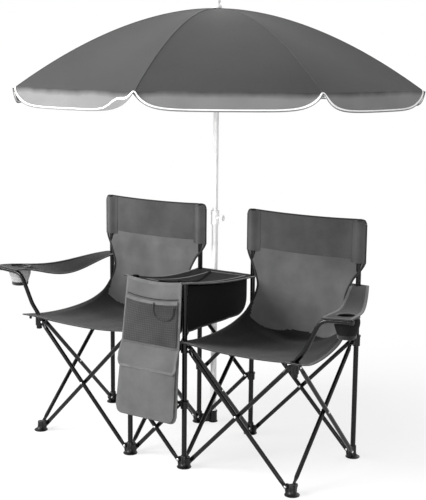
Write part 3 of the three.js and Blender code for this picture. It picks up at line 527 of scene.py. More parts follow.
def make_post(name):
    x, y, lugs, top = corners[name]
    body = f"{name}_post" if top else f"{name}_foot"
    if name == "left_rear_inner":
        body = "frame_root"
    foot = Shape()
    neck = 46 if top else 38
    profile = FOOT_PROFILE + [(12.6, neck - 1.4), (11.6, neck), (TIP, neck)]
    turned(foot, (x, y), profile, "moulding", 40)
    for direction in lugs:
        lug(foot, x, y, FOOT_PIVOT, direction, FOOT_PIVOT - 4)
    if name == "left_rear_inner":
        pole_socket(foot, x, y)
    node = f"{name}_post_and_foot" if top else f"{name}_foot"
    foot.piece(f"{name}_foot_moulding", body, "moulding", node)
    if not top:
        return
    post = Shape()
    tube = [(TIP, 5), (POST_RADIUS, 5), (POST_RADIUS, top - 6), (TIP, top - 6)]
    cap = [(TIP, top - 9), (POST_RADIUS + 1.1, top - 9), (POST_RADIUS + 1.3, top - 2.6),
           (POST_RADIUS, top - 0.8), (POST_RADIUS - 3, top), (TIP, top + 0.2)]
    turned(post, (x, y), tube, "tube")
    turned(post, (x, y), cap, "moulding")
    post.piece(f"{name}_post_tube", body, "frame_tube")


def pole_socket(shape, x, y):
    """Cup for the umbrella pole, moulded on the left chair's inner rear foot"""
    outer = POLE_RADIUS + 3.8
    bore = POLE_RADIUS + 0.4
    profile = [(TIP, 0), (outer + 2.5, 0), (outer + 3.2, 1.5), (outer + 2.2, 3.4), (outer, 5.5),
               (outer - 0.3, 40), (outer + 1.0, 42), (outer + 1.0, 47), (outer - 0.4, 48), (bore, 48),
               (bore, 4), (TIP, 4)]
    turned(shape, POLE, profile, "moulding", 40)
    start = Vector((x, y, 0))
    span = (POLE - start).length - outer + 2
    outline = [(8, 0.6), (span, 0.6), (span, 34), (span * 0.5, 22), (8, 34)]
    plate(shape, outline, start, (POLE - start).normalized(), 5.5)


# Brackets that slide on the posts
def sleeve_ring(shape, x, y, low, high):
    profile = [(SLEEVE_BORE, low), (SLEEVE_RADIUS - 1, low), (SLEEVE_RADIUS, low + 1),
               (SLEEVE_RADIUS, high - 7.5), (SLEEVE_RADIUS + 1.8, high - 6), (SLEEVE_RADIUS + 1.8, high - 1),
               (SLEEVE_RADIUS + 0.6, high), (SLEEVE_BORE, high)]
    turned(shape, (x, y), profile, "moulding", 36, closed=True)


def arm_path(x, y):
    """Middle line of an arm tube, with its corners rounded"""
    side = math.copysign(1, x)
    places = [(0, HUB_PIVOT - 26), (0, HUB_PIVOT + HUB_ABOVE), (ARM_KNEE_OUT, ARM_KNEE_HEIGHT),
              (ARM_TOP_OUT, ARM_TOP_HEIGHT), (ARM_TIP_OUT, ARM_TIP_HEIGHT)]
    path = [Vector((x + side * out, y, height)) for out, height in places]
    rounded = [path[0]]
    for before, corner, after in zip(path, path[1:], path[2:]):
        back, on = before - corner, after - corner
        reach = min(ARM_BEND, back.length / 3, on.length / 3)
        start = corner + back.normalized() * reach
        end = corner + on.normalized() * reach
        for t in steps(0, 1, 10):
            rounded.append(start * (1 - t) ** 2 + corner * (2 * t * (1 - t)) + end * t ** 2)
    return [*rounded, path[-1]]


def make_bracket(name):
    x, y, lugs, top = corners[name]
    shape = Shape()
    sleeve_ring(shape, x, y, HUB_PIVOT - HUB_BELOW, HUB_PIVOT + HUB_ABOVE)
    for direction in lugs:
        lug(shape, x, y, HUB_PIVOT, direction)
    body = f"{name}_bracket"
    if top:
        shape.piece(f"{name}_sliding_bracket", body, "moulding", body)
        return
    plug = [(TIP, HUB_PIVOT - 30), (SLEEVE_BORE, HUB_PIVOT - 30), (SLEEVE_BORE + 1, HUB_PIVOT - 28),
            (SLEEVE_BORE + 1, HUB_PIVOT - 16), (TIP, HUB_PIVOT - 16)]
    turned(shape, (x, y), plug, "moulding")
    shape.piece(f"{name}_fixed_bracket", body, "moulding", f"{name}_arm_tube_and_bracket")
    tube = Shape()
    path = arm_path(x, y)
    swept(tube, path, TUBE_RADIUS, "tube", 28)
    cap = [(TIP, -14), (TUBE_RADIUS + 0.9, -14), (TUBE_RADIUS + 1.1, -1), (TUBE_RADIUS, 1.2), (TIP, 2.2)]
    turned(tube, path[-1], cap, "moulding", 28, path[-1] - path[-2])
    tube.piece(f"{name}_arm_tube", body, "frame_tube")


def make_middle_bracket(name):
    x, y, _, _ = corners[name]
    shape = Shape()
    sleeve_ring(shape, x, y, MID_PIVOT - MID_HALF, MID_PIVOT + MID_HALF)
    lug(shape, x, y, MID_PIVOT, (-math.copysign(1, x), 0))
    body = f"{name}_middle_bracket"
    shape.piece(f"{name}_sliding_middle_bracket", body, "moulding", body)


# Crossed tubes with flattened, riveted ends
def scissor_tube(name, start, end, out):
    along = (end - start).normalized()
    across = along.cross(out).normalized()
    length = (end - start).length
    tail, flat, taper = 9, 12, 22
    shape = Shape()
    stations = []
    for angle in steps(0, math.pi / 2, 6):
        back = tail * math.cos(angle)
        stations.append((-back, 0.0, math.sqrt(max(0.02, 1 - (back / tail) ** 2))))
    stations += [(flat + taper * k / 8, ease(0, 1, k / 8), 1.0) for k in range(9)]
    stations += [(length - at, blend, width) for at, blend, width in reversed(stations)]
    rings = []
    for at, blend, width in stations:
        thick = lerp(FLAT_THICKNESS / 2, TUBE_RADIUS, blend)
        wide = lerp(FLAT_WIDTH / 2 * width, TUBE_RADIUS, blend)
        rings.append(circle(start + along * at, out, across, thick, wide, 24, lerp(3.2, 2.0, blend)))
    skin(shape, rings, "tube")
    for pivot in (start, end):
        rivet(shape, pivot + out * (FLAT_THICKNESS / 2), out)
    rivet(shape, (start + end) / 2 + out * (TUBE_RADIUS - 0.6), out, 4.2, 2.4)
    shape.piece(f"{name}_riveted", name, "frame_tube", name)


def crossed_pair(names, first, second, low, high, across):
    """Two tubes between two posts, one rising and one falling, on either side of the posts' line"""
    p, q = (Vector((*corners[name][:2], 0)) for name in (first, second))
    out = (q - p).normalized() * PIVOT_OUT
    ends = [p + out, q - out]
    for name, (start, end), side in zip(names, (ends, ends[::-1]), (across, -across)):
        off = side * SIDE_OFFSET
        scissor_tube(name, start + off + Z_AXIS * low, end + off + Z_AXIS * high, side)


def make_frame():
    for name in corners:
        make_post(name)
        make_bracket(name)
        if name.endswith("inner"):
            make_middle_bracket(name)
    for row in ("front", "rear"):
        for chair, ends in (("left", ("outer", "inner")), ("right", ("inner", "outer"))):
            crossed_pair([f"{chair}_{row}_tube_from_{place}_foot" for place in ends],
                         *(f"{chair}_{row}_{place}" for place in ends), FOOT_PIVOT, HUB_PIVOT, Y_AXIS)
        for level, low, high in (("lower", FOOT_PIVOT, MID_PIVOT), ("upper", MID_PIVOT, HUB_PIVOT)):
            crossed_pair([f"middle_{row}_{level}_tube_{side}" for side in ("left", "right")],
                         f"left_{row}_inner", f"right_{row}_inner", low, high, Y_AXIS)
    for chair, place in (("left", "outer"), ("left", "inner"), ("right", "inner"), ("right", "outer")):
        crossed_pair([f"{chair}_{place}_side_tube_from_{row}_foot" for row in ("front", "rear")],
                     f"{chair}_front_{place}", f"{chair}_rear_{place}", FOOT_PIVOT, HUB_PIVOT, -X_AXIS)


# Cloth over a grid of points
def surface_normals(grid):
    rows, columns = len(grid) - 1, len(grid[0]) - 1

    def facing(r, c):
        across = grid[r][min(c + 1, columns)] - grid[r][max(c - 1, 0)]
        return across.cross(grid[min(r + 1, rows)][c] - grid[max(r - 1, 0)][c]).normalized()

    return [[facing(r, c) for c in range(columns + 1)] for r in range(rows + 1)]


def cloth_lengths(grid):
    """Lengths across and along the cloth at each point, in millimetres"""
    middle = len(grid[0]) // 2
    along = 0.0
    lengths = []
    for r, line in enumerate(grid):
        along += (line[middle] - grid[r - 1][middle]).length if r else 0
        across = 0.0
        for c, point in enumerate(line):
            across += (point - line[c - 1]).length if c else 0
            lengths.append((across, along))
    return lengths


def cloth(shape, grid, thickness, finish, normals=None, shaded=False, other=None, inside=()):
    """A closed cloth sheet of even thickness, with its middle surface on the grid

    shaded keeps the normals for the shading too. other is a finish and a test of row and column, for the
    squares that have that finish instead. Squares with a corner in inside are left out.
    """
    normals = normals or surface_normals(grid)
    rows, columns = len(grid), len(grid[0])
    facing = [normal for line in normals for normal in line]
    flat = [point for line in grid for point in line]
    points = [point + normal * half for half in (thickness / 2, -thickness / 2)
              for point, normal in zip(flat, facing)]
    under = rows * columns
    squares, upper, lower, edges = [], [], [], {}
    for r in range(rows - 1):
        for c in range(columns - 1):
            if inside and inside & {(r, c), (r, c + 1), (r + 1, c), (r + 1, c + 1)}:
                continue
            a = r * columns + c
            square = (a, a + 1, a + columns + 1, a + columns)
            squares.append((r, c))
            upper.append(square)
            lower.append([under + corner for corner in (a, *reversed(square[1:]))])
            for edge in zip(square, square[1:] + square[:1]):
                if edges.pop(edge[::-1], None) is None:
                    edges[edge] = True
    faces = upper + lower + [(a, under + a, under + b, b) for a, b in edges]
    used = sorted({corner for face in faces for corner in face})
    place = {old: new for new, old in enumerate(used)}
    lengths = cloth_lengths(grid) * 2
    shown = facing + [-normal for normal in facing] if shaded else None
    start = len(shape.faces)
    shape.add([points[i] for i in used], [[place[i] for i in face] for face in faces], finish,
              [lengths[i] for i in used], shown)
    for i, square in enumerate(squares):
        if other and other[1](*square):
            for face in (start + i, start + len(squares) + i):
                shape.face_finishes[face] = shape.finish_index(other[0])


def tape(shape, line, width, thickness, finish, normal=None, inner=None, closed=False, widths=None):
    """A flat tape sewn over a cloth edge: rounded section that follows the edge

    normal is where the tape faces, or None where it lies flat towards inner, the place it reaches in to.
    Each is one vector for the whole line, or a list with one for each of its points.
    """
    count = len(line)
    normals, inners = (
        [given] * count if isinstance(given, Vector) else given for given in (normal, inner))
    rings, lengths, travelled = [], [], 0.0
    for i, point in enumerate(line):
        before = line[i - 1] if closed or i else point
        after = line[(i + 1) % count] if closed or i + 1 < count else point
        along = (after - before).normalized()
        inward = inners[i] - point if inners else None
        side = along.cross(normals[i] if normals else inward.cross(along)).normalized()
        if inners and side.dot(inward) < 0:
            side = -side
        wide = widths[i] if widths else width
        centre = point + side * (wide / 2 - thickness / 2 - 0.6) if inners else point
        up = side.cross(along).normalized()
        rings.append(circle(centre, side, up, wide / 2, thickness / 2, TAPE_SIDES, 3.5))
        travelled += (point - line[i - 1]).length if i else 0
        lengths += [(travelled, width * s / TAPE_SIDES) for s in range(TAPE_SIDES)]
    if closed:
        rings.append(rings[0])
        lengths += lengths[-TAPE_SIDES:]
    skin(shape, rings, finish, not closed, lengths)


def spline(points, share):
    """Point on a centripetal Catmull-Rom curve, evenly shared between its control points"""
    place = clamp(share) * (len(points) - 1)
    i = min(int(place), len(points) - 2)
    weight = place - i
    p1, p2 = points[i], points[i + 1]
    p0 = points[i - 1] if i else p1 * 2 - p2
    p3 = points[i + 2] if i + 2 < len(points) else p2 * 2 - p1
    d0, d1, d2 = (max(1e-4, (b - a).length) ** 0.5 for a, b in ((p0, p1), (p1, p2), (p2, p3)))
    t1 = ((p1 - p0) / d0 - (p2 - p0) / (d0 + d1) + (p2 - p1) / d1) * d1
    t2 = ((p2 - p1) / d1 - (p3 - p1) / (d1 + d2) + (p3 - p2) / d2) * d1
    c2 = p2 * 3 - p1 * 3 - t1 * 2 - t2
    c3 = p1 * 2 - p2 * 2 + t1 + t2
    return p1 + t1 * weight + c2 * weight ** 2 + c3 * weight ** 3


def spline_line(points, count):
    return [spline(points, share) for share in steps(0, 1, count)]


# Pieces on folding parts: each gets its own copy of its mesh
def fold_back(piece):
    """Gives a piece its own copy of its mesh"""
    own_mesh(piece)


def fold_aside(piece):
    """Gives a piece its own copy of its mesh"""
    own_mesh(piece)


def fold_armrest(piece):
    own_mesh(piece)


# Seat slings
def sling_side(post_x, tip, forward):
    side = math.copysign(1, tip)
    seat = SEAT_CORNER
    sleeve = post_x + side * SLEEVE_OUT
    slack = RIGHT_HEM_SLACK if post_x > INNER_X * 2 and side > 0 else 0
    blade = (WAIST_HEIGHT + SLEEVE_BOTTOM) / 2
    edge = [
        (post_x + tip, FRONT_Y - forward, seat + CORNER_RISE),
        (post_x + tip * 0.6, FRONT_Y + SEAT_BAY / 6, seat - HEM_SAG * 0.5 - slack),
        (post_x + tip / 4, FRONT_Y + FRAME_DEPTH / 2, seat - HEM_SAG * 0.4 - slack),
        (post_x, REAR_Y - FRAME_DEPTH / 4, seat + HEM_SAG * 0.6 - slack / 2),
        (post_x - side * WAIST_IN / 3, REAR_Y - WAIST_FORWARD * 2, seat + BELLY_SAG),
        (post_x - side * WAIST_IN, REAR_Y - WAIST_FORWARD, WAIST_HEIGHT),
        (post_x - side * WAIST_IN * 0.4, REAR_Y - WAIST_FORWARD * 0.6, blade),
    ] + [(sleeve, REAR_Y, height) for height in steps(SLEEVE_BOTTOM, SLEEVE_TOP, 2)]
    return [Vector(point) for point in edge]


SLING_MIDDLE = [
    (FRONT_Y - FRONT_TIP / 2, SEAT_CORNER - FRONT_SAG),
    (FRONT_Y + SEAT_BAY / 6, SEAT_CORNER - HEM_SAG * 1.4),
    (FRONT_Y + FRAME_DEPTH / 2, SEAT_CORNER - BELLY_SAG),
    (REAR_Y - FRAME_DEPTH / 4, SEAT_CORNER - BELLY_SAG),
    (REAR_Y - SEAT_REAR_INSET * 1.4, SEAT_CORNER - BELLY_SAG * 0.85),
    (REAR_Y - WAIST_FORWARD / 2, SEAT_CORNER + BELLY_SAG),
    (REAR_Y - BACK_DIP, WAIST_HEIGHT + BELLY_SAG),
    (REAR_Y - BACK_DIP, SLEEVE_BOTTOM - BACK_DIP / 2),
    (REAR_Y - BACK_DIP / 2, (SLEEVE_BOTTOM + SLEEVE_TOP) / 2 - BACK_DIP / 2),
    (REAR_Y - BACK_DIP / 2, SLEEVE_TOP - BACK_DIP / 2),
]
LEVEL_INSET = SLEEVE_RADIUS + 4.8
SEAT_BACK_SHARE = 4.35 / 9
SLEEVE_SHARE = 7.4 / 9
BACK_TAPE_SHARE = 7.02 / 9
SHADE_STEP = 0.004
SHADE_ACROSS = 0.012


class Sling:
    """The middle surface of one chair's cloth: share runs from the front hem to the top

    across runs from -1 at the outer edge to 1 at the inner edge.
    """

    def __init__(self, chair):
        self.sign = -1 if chair == "left" else 1
        outer_x = self.sign * OUTER_X
        inner_x = self.sign * INNER_X
        self.centre = (outer_x + inner_x) / 2
        self.middle = [Vector((self.centre, y, z)) for y, z in SLING_MIDDLE]
        self.edges = {
            -1: sling_side(outer_x, self.sign * OUTER_TIP, FRONT_TIP),
            1: sling_side(inner_x, -self.sign * INNER_TIP, INNER_FRONT_TIP),
        }

    def at(self, share, across):
        middle = spline(self.middle, share)
        edge = spline(self.edges[-1 if across < 0 else 1], share)
        wide = abs(edge.x - self.centre)
        level = min(1.0, (SEAT_BAY / 2 - LEVEL_INSET) / wide)
        part = abs(across)
        rise = min(1.0, part / level) ** 2.2
        point = Vector((
            lerp(middle.x, edge.x, part), lerp(middle.y, edge.y, rise), lerp(middle.z, edge.z, rise)))
        if share > 0.9:
            beyond = clamp((part * wide - (wide - SLEEVE_CORNER)) / SLEEVE_CORNER)
            point.z -= SLEEVE_CORNER * (1 - math.sqrt(1 - beyond ** 2)) * ease(0.9, 1.0, share)
        return point + self.wrinkle(point, share, part)

    def wrinkle(self, point, share, part):
        """Soft pulls in the cloth, fading out towards what holds it"""
        free = 1 - ease(0.72, 1.0, part)
        on_back = ease(SEAT_BACK_SHARE, SEAT_BACK_SHARE + 0.1, share) * (1 - ease(0.74, 0.8, share))
        on_seat = ease(0.03, 0.12, share) * (1 - ease(0.4, 0.46, share))
        seed = Vector((self.sign * 3.7, 0, 0))
        broad = noise.noise(point * 0.011 + seed)
        folds = noise.noise(Vector((point.x * 0.016, point.y * 0.006, point.z * 0.007)) + seed * 2)
        depth = free * (on_back * (6.0 * folds + 5.0 * broad) + on_seat * (2.6 * folds + 2.2 * broad))
        return Vector((0, -0.9, 0.35)) * (on_back * depth) + Z_AXIS * (on_seat * depth)

    def facing(self, share, across, step):
        """Surface direction of the whole cloth, so that parts of it join without a line"""
        along = self.at(min(1, share + SHADE_STEP), across) - self.at(max(0, share - SHADE_STEP), across)
        beside = self.at(share, clamp(across + step, -1, 1)) - self.at(share, clamp(across - step, -1, 1))
        return beside.cross(along).normalized()

    def grids(self, low, high, rows, left, right, columns):
        """Points and surface directions, laid left to right as seen from the front"""
        places = [[(share, across) for across in steps(left, right, columns)]
                  for share in steps(low, high, rows)]
        step = math.copysign(SHADE_ACROSS, right - left)
        return ([[self.at(*place) for place in line] for line in places],
                [[self.facing(*place, step) for place in line] for line in places])

    def row(self, share, left, right, count):
        return [self.at(share, across) for across in steps(left, right, count)]


def make_sling(chair):
    sling = Sling(chair)
    # The left chair's outer edge is on the left, and the right chair's on the right
    left, right = (-1, 1) if chair == "left" else (1, -1)
    make_back(chair, sling, left, right)
    make_corner_plugs(chair, sling)
    make_seat(chair, sling)


def make_corner_plugs(chair, sling):
    """Two short moulded ends below the outer front corner, where the cloth is held to the arm tube"""
    shape = Shape()
    profile = [(TIP, -13), (3.6, -13), (4.8, -11.4), (5.2, -6), (4.6, 0), (TIP, 0.6)]
    for place in ((0.012, -0.9), (0.02, -0.76)):
        turned(shape, sling.at(*place) - Z_AXIS * 1.5, profile, "moulding", 20)
    shape.piece(f"{chair}_seat_corner_plugs", f"{chair}_front_outer_bracket", "moulding")


def edge_tape(shape, sling, low, high, across, width, thickness):
    line, inner = ([sling.at(share, place) for share in steps(low, high, 50)]
                   for place in (across, across * 0.95))
    tape(shape, line, width, thickness, "binding", inner=inner)


def make_back(chair, sling, left, right):
    shape = Shape()
    low, seam = SEAT_BACK_SHARE, SLEEVE_SHARE - 0.02
    grid, facing = sling.grids(low, seam, 56, left, right, 64)
    cloth(shape, grid, SLING_THICKNESS, "back", facing)
    grid, facing = sling.grids(seam - 0.004, 1.0, 24, left, right, 64)
    cloth(shape, grid, SLING_THICKNESS + 1.6, "head", facing)
    for across in (-1, 1):
        edge_tape(shape, sling, low, BACK_TAPE_SHARE, across, 9, 4.2)
    # The seam is a thin raised fold of cloth
    above = sling.row(seam + 0.01, left, right, 60)
    tape(shape, sling.row(seam, left, right, 60), 9, 5.0, "head", inner=above)
    below = sling.row(0.97, left, right, 80)
    tape(shape, sling.row(1.0, left, right, 80), 6, 5.6, "binding", -Y_AXIS, below)
    for place in ("outer", "inner"):
        x, y, _, _ = corners[f"{chair}_rear_{place}"]
        sleeve_pocket(shape, x, y, math.copysign(1, x - sling.centre))
    piece = shape.piece(f"{chair}_back_cloth", INNER_BODY[chair], "seat_fabric", f"{chair}_seat_sling")
    fold_aside(piece)


def sleeve_pocket(shape, x, y, out):
    """The flat hem round a rear post: full at the post, thin at its outer edge and its inner seam"""
    low, high = SLEEVE_BOTTOM, SLEEVE_TOP - 1.5
    heights = steps(low, high, 34)
    rings = []
    for height in heights:
        into_corner = clamp((height - (high - SLEEVE_CORNER)) / SLEEVE_CORNER)
        narrow = SLEEVE_CORNER * (1 - math.sqrt(1 - into_corner ** 2))
        front, rear = [], []
        for across in steps(-SLEEVE_IN, SLEEVE_OUT - 0.6 - narrow, 22):
            pull = 0.8 * waver(x * 0.1 + across * 0.05, height * 0.02, 0)
            half = 2.2 + (9.8 + pull) * math.exp(-((across / 17) ** 2))
            half *= 1 - 0.35 * into_corner ** 3
            front.append(Vector((x + out * across, y - half, height)))
            rear.append(Vector((x + out * across, y + half, height)))
        rings.append((front + rear[::-1])[::int(out)])
    skin(shape, rings, "head")
    seam = [Vector((x - out * SLEEVE_IN, y - 3.0, height)) for height in heights]
    tape(shape, seam, 2.0, 1.4, "head", -Y_AXIS)
    edge_x = x + out * (SLEEVE_OUT + 1.2)
    edge = [Vector((edge_x, y, height)) for height in steps(low, high - SLEEVE_CORNER, 34)]
    tape(shape, edge, 5.0, 6.4, "binding", -Y_AXIS)
    cap = [(POST_RADIUS + 0.4, -1), (POST_RADIUS + 1.8, 0), (POST_RADIUS + 1.8, 4.4), (POST_RADIUS - 1, 6.4),
           (TIP, 7.2)]
    turned(shape, (x, y, high - 2), cap, "moulding", 28)


# Strips of a seat: places across, squares across, and the part that each rides on
SEAT_STRIPS = {
    "outer": (-1.0, -0.4, 28, "rear_outer_bracket"),
    "middle": (-0.4, 0.35, 22, "rear_tube_from_inner_foot"),
    "inner": (0.35, 1.0, 28, "rear_inner_bracket"),
}
SEAT_ROWS = 64


def make_seat(chair, sling):
    """Seat cloth in three strips, because each follows other brackets when the frame folds"""
    for name, (start, end, columns, body) in SEAT_STRIPS.items():
        first, last = (start, end) if sling.sign < 0 else (end, start)
        shape = Shape()
        grid, facing = sling.grids(0.0, SEAT_BACK_SHARE, SEAT_ROWS, first, last, columns)

        # The seat takes its chair's darker finish, which is painted shade. Squares that on_back picks take
        # the lighter back cloth instead, as painted light reaching down the seat away from its middle.
        def on_back(row, column):
            part = abs(lerp(first, last, (column + 0.5) / columns))
            return (row + 0.5) / SEAT_ROWS > 1 - 0.16 * ease(0.1, 0.8, part) * (1 - ease(0.86, 1.0, part))

        cloth(shape, grid, SLING_THICKNESS, f"seat_{chair}", facing, True, ("back", on_back))
        if name != "middle":
            edge_tape(shape, sling, 0.0, SEAT_BACK_SHARE, -1 if name == "outer" else 1, 13, 4.6)
        behind = sling.row(0.02, first, last, columns)
        tape(shape, sling.row(0.0, first, last, columns), 13, 4.6, "binding", inner=behind)
        piece = shape.piece(f"{chair}_seat_cloth_{name}", f"{chair}_{body}", "seat_fabric")
        fold_back(piece)


# Armrests
def armrest_ends(chair):
    """Direction outward, and the strap's inner and outer front corners, across the frame"""
    sign = -1 if chair == "left" else 1
    front_x = corners[f"{chair}_front_outer"][0]
    return sign, front_x + sign * (ARM_TOP_OUT + ARM_BEND / 3), front_x + sign * ARM_TIP_OUT


def armrest_point(chair, along, across):
    sign, inner, outer = armrest_ends(chair)
    rear = corners[f"{chair}_rear_outer"][0] + sign * (across - 0.5) * STRAP_REAR_WIDTH
    x = lerp(lerp(inner, outer, across), rear, along ** 1.3)
    y = lerp(FRONT_Y - STRAP_OVERHANG, REAR_Y + STRAP_OVERHANG, along)
    front_z = ARM_TOP_HEIGHT + STRAP_LIFT + (ARM_TIP_HEIGHT - ARM_TOP_HEIGHT) * across * (1 - along)
    sag = STRAP_SAG + STRAP_INNER_SAG[chair] * (1 - across)
    z = lerp(front_z, STRAP_REAR_HEIGHT, along) - sag * math.sin(math.pi * along) ** 2
    return Vector((x, y, z))


def make_armrest(chair):
    sign, inner, outer = armrest_ends(chair)
    rim = ARM_TOP_HEIGHT + STRAP_LIFT - STRAP_SAG / 8
    place = Vector(((inner + outer) / 2, FRONT_Y + CUP_FROM_FRONT, rim))
    alongs = steps(0, 1, 96)
    acrosses = steps(1, 0, 30) if sign < 0 else steps(0, 1, 30)
    shape = Shape()
    grid = [[armrest_point(chair, along, across) for across in acrosses] for along in alongs]
    normals = surface_normals(grid)
    inside = draw_to_hole(grid, place, CUP_RADIUS - 2)
    # The strap's finish differs between the chairs only by painted light and shade, lighter on the left.
    cloth(shape, grid, STRAP_THICKNESS - 1, f"arm_{chair}", normals, inside=inside)
    for end in (0, 1):
        line = [armrest_point(chair, along, end) for along in alongs]
        tape(shape, line, *STRAP_BINDING, Z_AXIS, [armrest_point(chair, along, 0.5) for along in alongs])
    for end in (0, 1):
        line = [armrest_point(chair, end, across) for across in steps(0, 1, 30)]
        middle = [armrest_point(chair, 0.5, across) for across in steps(0, 1, 30)]
        tape(shape, line, *STRAP_BINDING, Z_AXIS, middle)
    ring = circle(place + Z_AXIS * 0.8, X_AXIS, Y_AXIS, CUP_RADIUS, CUP_RADIUS, 48)
    tape(shape, ring, 9, 5.0, "binding", Z_AXIS, closed=True)
    net = Shape()
    # The net's finish paints what is seen through it: white background for the left cup, painted shade for
    # the right cup.
    cup(net, place, f"cup_net_{chair}")
    body = f"{chair}_rear_outer_post"
    fold_armrest(net.piece(f"{chair}_armrest_cup", body, "seat_fabric"))
    piece = shape.piece(f"{chair}_armrest_strap", body, "seat_fabric", f"{chair}_armrest")
    fold_armrest(piece)


def draw_to_hole(grid, centre, radius):
    """Draws the points near a round hole onto its edge, and gives the rows and columns inside it"""
    inside = set()
    for r, line in enumerate(grid):
        for c, point in enumerate(line):
            flat = Vector((point.x - centre.x, point.y - centre.y, 0))
            if flat.length < radius - 3:
                inside.add((r, c))
            elif flat.length < radius + 3:
                line[c] = Vector((centre.x, centre.y, point.z)) + flat.normalized() * radius
    return inside


def cup(shape, place, finish):
    """Net cup under the strap, with its foot ring"""
    outer, inner = [], []
    foot = place.z - CUP_DEPTH
    for share in steps(0, 1, 16):
        height = lerp(place.z, foot, share)
        bulge = CUP_BULGE * math.sin(math.pi * min(1.0, share * 1.2)) ** 0.8 * (1 - share)
        radius = lerp(CUP_RADIUS, CUP_FOOT_RADIUS, share ** 1.6) + bulge
        outer.append((radius, height))
        inner.append((radius - CUP_WALL, height + (CUP_WALL if share == 1 else 0)))
    profile = outer + [(TIP, foot), (TIP, foot + CUP_WALL)] + inner[::-1]
    turned(shape, place.to_2d(), profile, finish, 48, closed=True)
    ring = [(0.4, -0.4), (2.2, 1), (3.4, 13), (2.4, 14), (0.4, 12), (-1.4, 1)]
    ring = [(CUP_FOOT_RADIUS + wider, foot + height) for wider, height in ring]
    turned(shape, place.to_2d(), ring, "binding", 48, closed=True)


# Table, cooler and organizer
def front_dip(across):
    """Sag of the table's front edge between its posts, which the organizer's top follows"""
    return FRONT_DIP * max(0.0, 1 - across ** 2)


def table_height(x, y):
    share = clamp((y - FRONT_Y) / FRAME_DEPTH)
    bow = math.sin(math.pi * share)
    across = x / INNER_X
    leftward = clamp(0.5 - across / 2)
    sides = lerp(RIGHT_DIP * (1 - leftward) ** 2, LEFT_DIP, leftward ** 2)
    sag = (TABLE_SAG * max(0.0, 1 - across ** 2) + sides) * bow
    return lerp(TABLE_FRONT, TABLE_REAR, share) - sag - front_dip(across) * (1 - share) ** 3


def table_point(x, y, lift):
    return Vector((x, y, table_height(x, y) + lift))


def table_grid(low_x, high_x, low_y, high_y, columns, rows, lift=0.0):
    return [[table_point(x, y, lift + 0.7 * waver(x * 0.02, y * 0.02, 0))
             for x in steps(low_x, high_x, columns)] for y in steps(low_y, high_y, rows)]


def make_table():
    low_x, high_x = -INNER_X - TABLE_OVERHANG, INNER_X + TABLE_OVERHANG
    low_y, high_y = FRONT_Y - TABLE_OVERHANG, REAR_Y + TABLE_REAR_HEM
    left, right = Shape(), Shape()
    strips = [
        (left, low_x, LID[0], low_y, high_y),
        (right, LID[0], high_x, low_y, LID[2]),
        (right, LID[0], high_x, LID[3], high_y),
        (right, LID[1], high_x, LID[2], LID[3]),
    ]
    for shape, x0, x1, y0, y1 in strips:
        grid = table_grid(x0, x1, y0, y1, max(3, int((x1 - x0) / 8)), max(3, int((y1 - y0) / 8)))
        cloth(shape, grid, TABLE_THICKNESS - 0.6, "table")
    for shape, x0, x1 in ((left, low_x, LID[0]), (right, LID[0], high_x)):
        for y in (low_y, high_y):
            tape(shape, table_grid(x0, x1, y, y, 20, 1)[0], *TABLE_BINDING, Z_AXIS, Vector())
    for shape, x in ((left, low_x), (right, high_x)):
        line = [row[0] for row in table_grid(x, x, low_y, high_y, 1, 50)]
        tape(shape, line, *TABLE_BINDING, Z_AXIS, Vector())
    tape(right, spline_line([table_point(*place, 3.4) for place in ZIP_END], 30), 15, 9.0, "zip", Z_AXIS)
    patch = [(TIP, 6), (11, 5.6), (14.5, 3), (14.5, -1), (TIP, -1.2)]
    turned(left, table_point(-INNER_X + 22, FRONT_Y + 6, 1), patch, "zip", 28)
    left_half = ("left", left, ["table_top"], (LID[0] - low_x) * MM)
    right_half = ("right", right, [], (high_x - LID[0]) * MM)
    for name, shape, nodes, wide in (left_half, right_half):
        piece = shape.piece(f"table_cloth_{name}", INNER_BODY[name], "organizer_fabric", *nodes)
        fold_back(piece)


def make_lid():
    shape = Shape()
    x0, x1, y0, y1 = LID[0] + LID_GAP, LID[1] - LID_GAP, LID[2] + LID_GAP, LID[3] - LID_GAP
    cloth(shape, table_grid(x0, x1, y0, y1, 22, 50, LID_GAP), TABLE_THICKNESS, "table")
    outline = [(x0, y0), (x1, y0), (x1, y1), (x0, y1), (x0, y0)]
    for a, b in zip(outline, outline[1:]):
        line = [table_point(x, y, 1.2) for x, y in zip(steps(a[0], b[0], 24), steps(a[1], b[1], 24))]
        tape(shape, line, 11, 4.0, "binding", Z_AXIS, Vector(((x0 + x1) / 2, (y0 + y1) / 2, 0)))
    line = spline_line([table_point(*place, 3.0) for place in LID_ZIP], 60)
    tape(shape, line, 14, 8.0, "zip", Z_AXIS, widths=steps(14, 9, 60))
    pull = line[0] + Vector((0, 0, 2.4))
    swept(shape, [pull, pull + Vector((-9, 1, 0.6)), pull + Vector((-20, 2, -0.6))], 1.4, "zip", 10, 3.4)
    piece = shape.piece("cooler_lid_cloth", "cooler_lid", "organizer_fabric", "cooler_lid")
    fold_back(piece)


def cooler_outline():
    """Side profile of the cooler as (y, height) pairs, front edge first"""
    low_y = FRONT_Y + POST_RADIUS + 12
    high_y = REAR_Y - SLEEVE_RADIUS - 12
    bottom = TABLE_REAR - COOLER_DEPTH
    front_top, rear_top = (table_height(INNER_X, y) - COOLER_TOP_GAP for y in (low_y, high_y))
    front_corner = COOLER_CORNER / 2
    rear_corner = COOLER_CORNER * 1.4
    end_y = high_y - COOLER_CORNER * 1.6
    points = [(low_y, z) for z in steps(front_top, bottom + front_corner, 8)]
    for t in steps(0, 1, 8)[1:]:
        points.append((low_y + front_corner * t ** 2, bottom + front_corner * (1 - t) ** 2))
    points += [(y, bottom) for y in steps(low_y + front_corner, end_y, 14)[1:]]
    for t in steps(0, 1, 12)[1:]:
        points.append((lerp(high_y, end_y, (1 - t) ** 2), bottom + rear_corner * t ** 2))
    return points + [(high_y, z) for z in steps(bottom + rear_corner, rear_top, 8)[1:]]


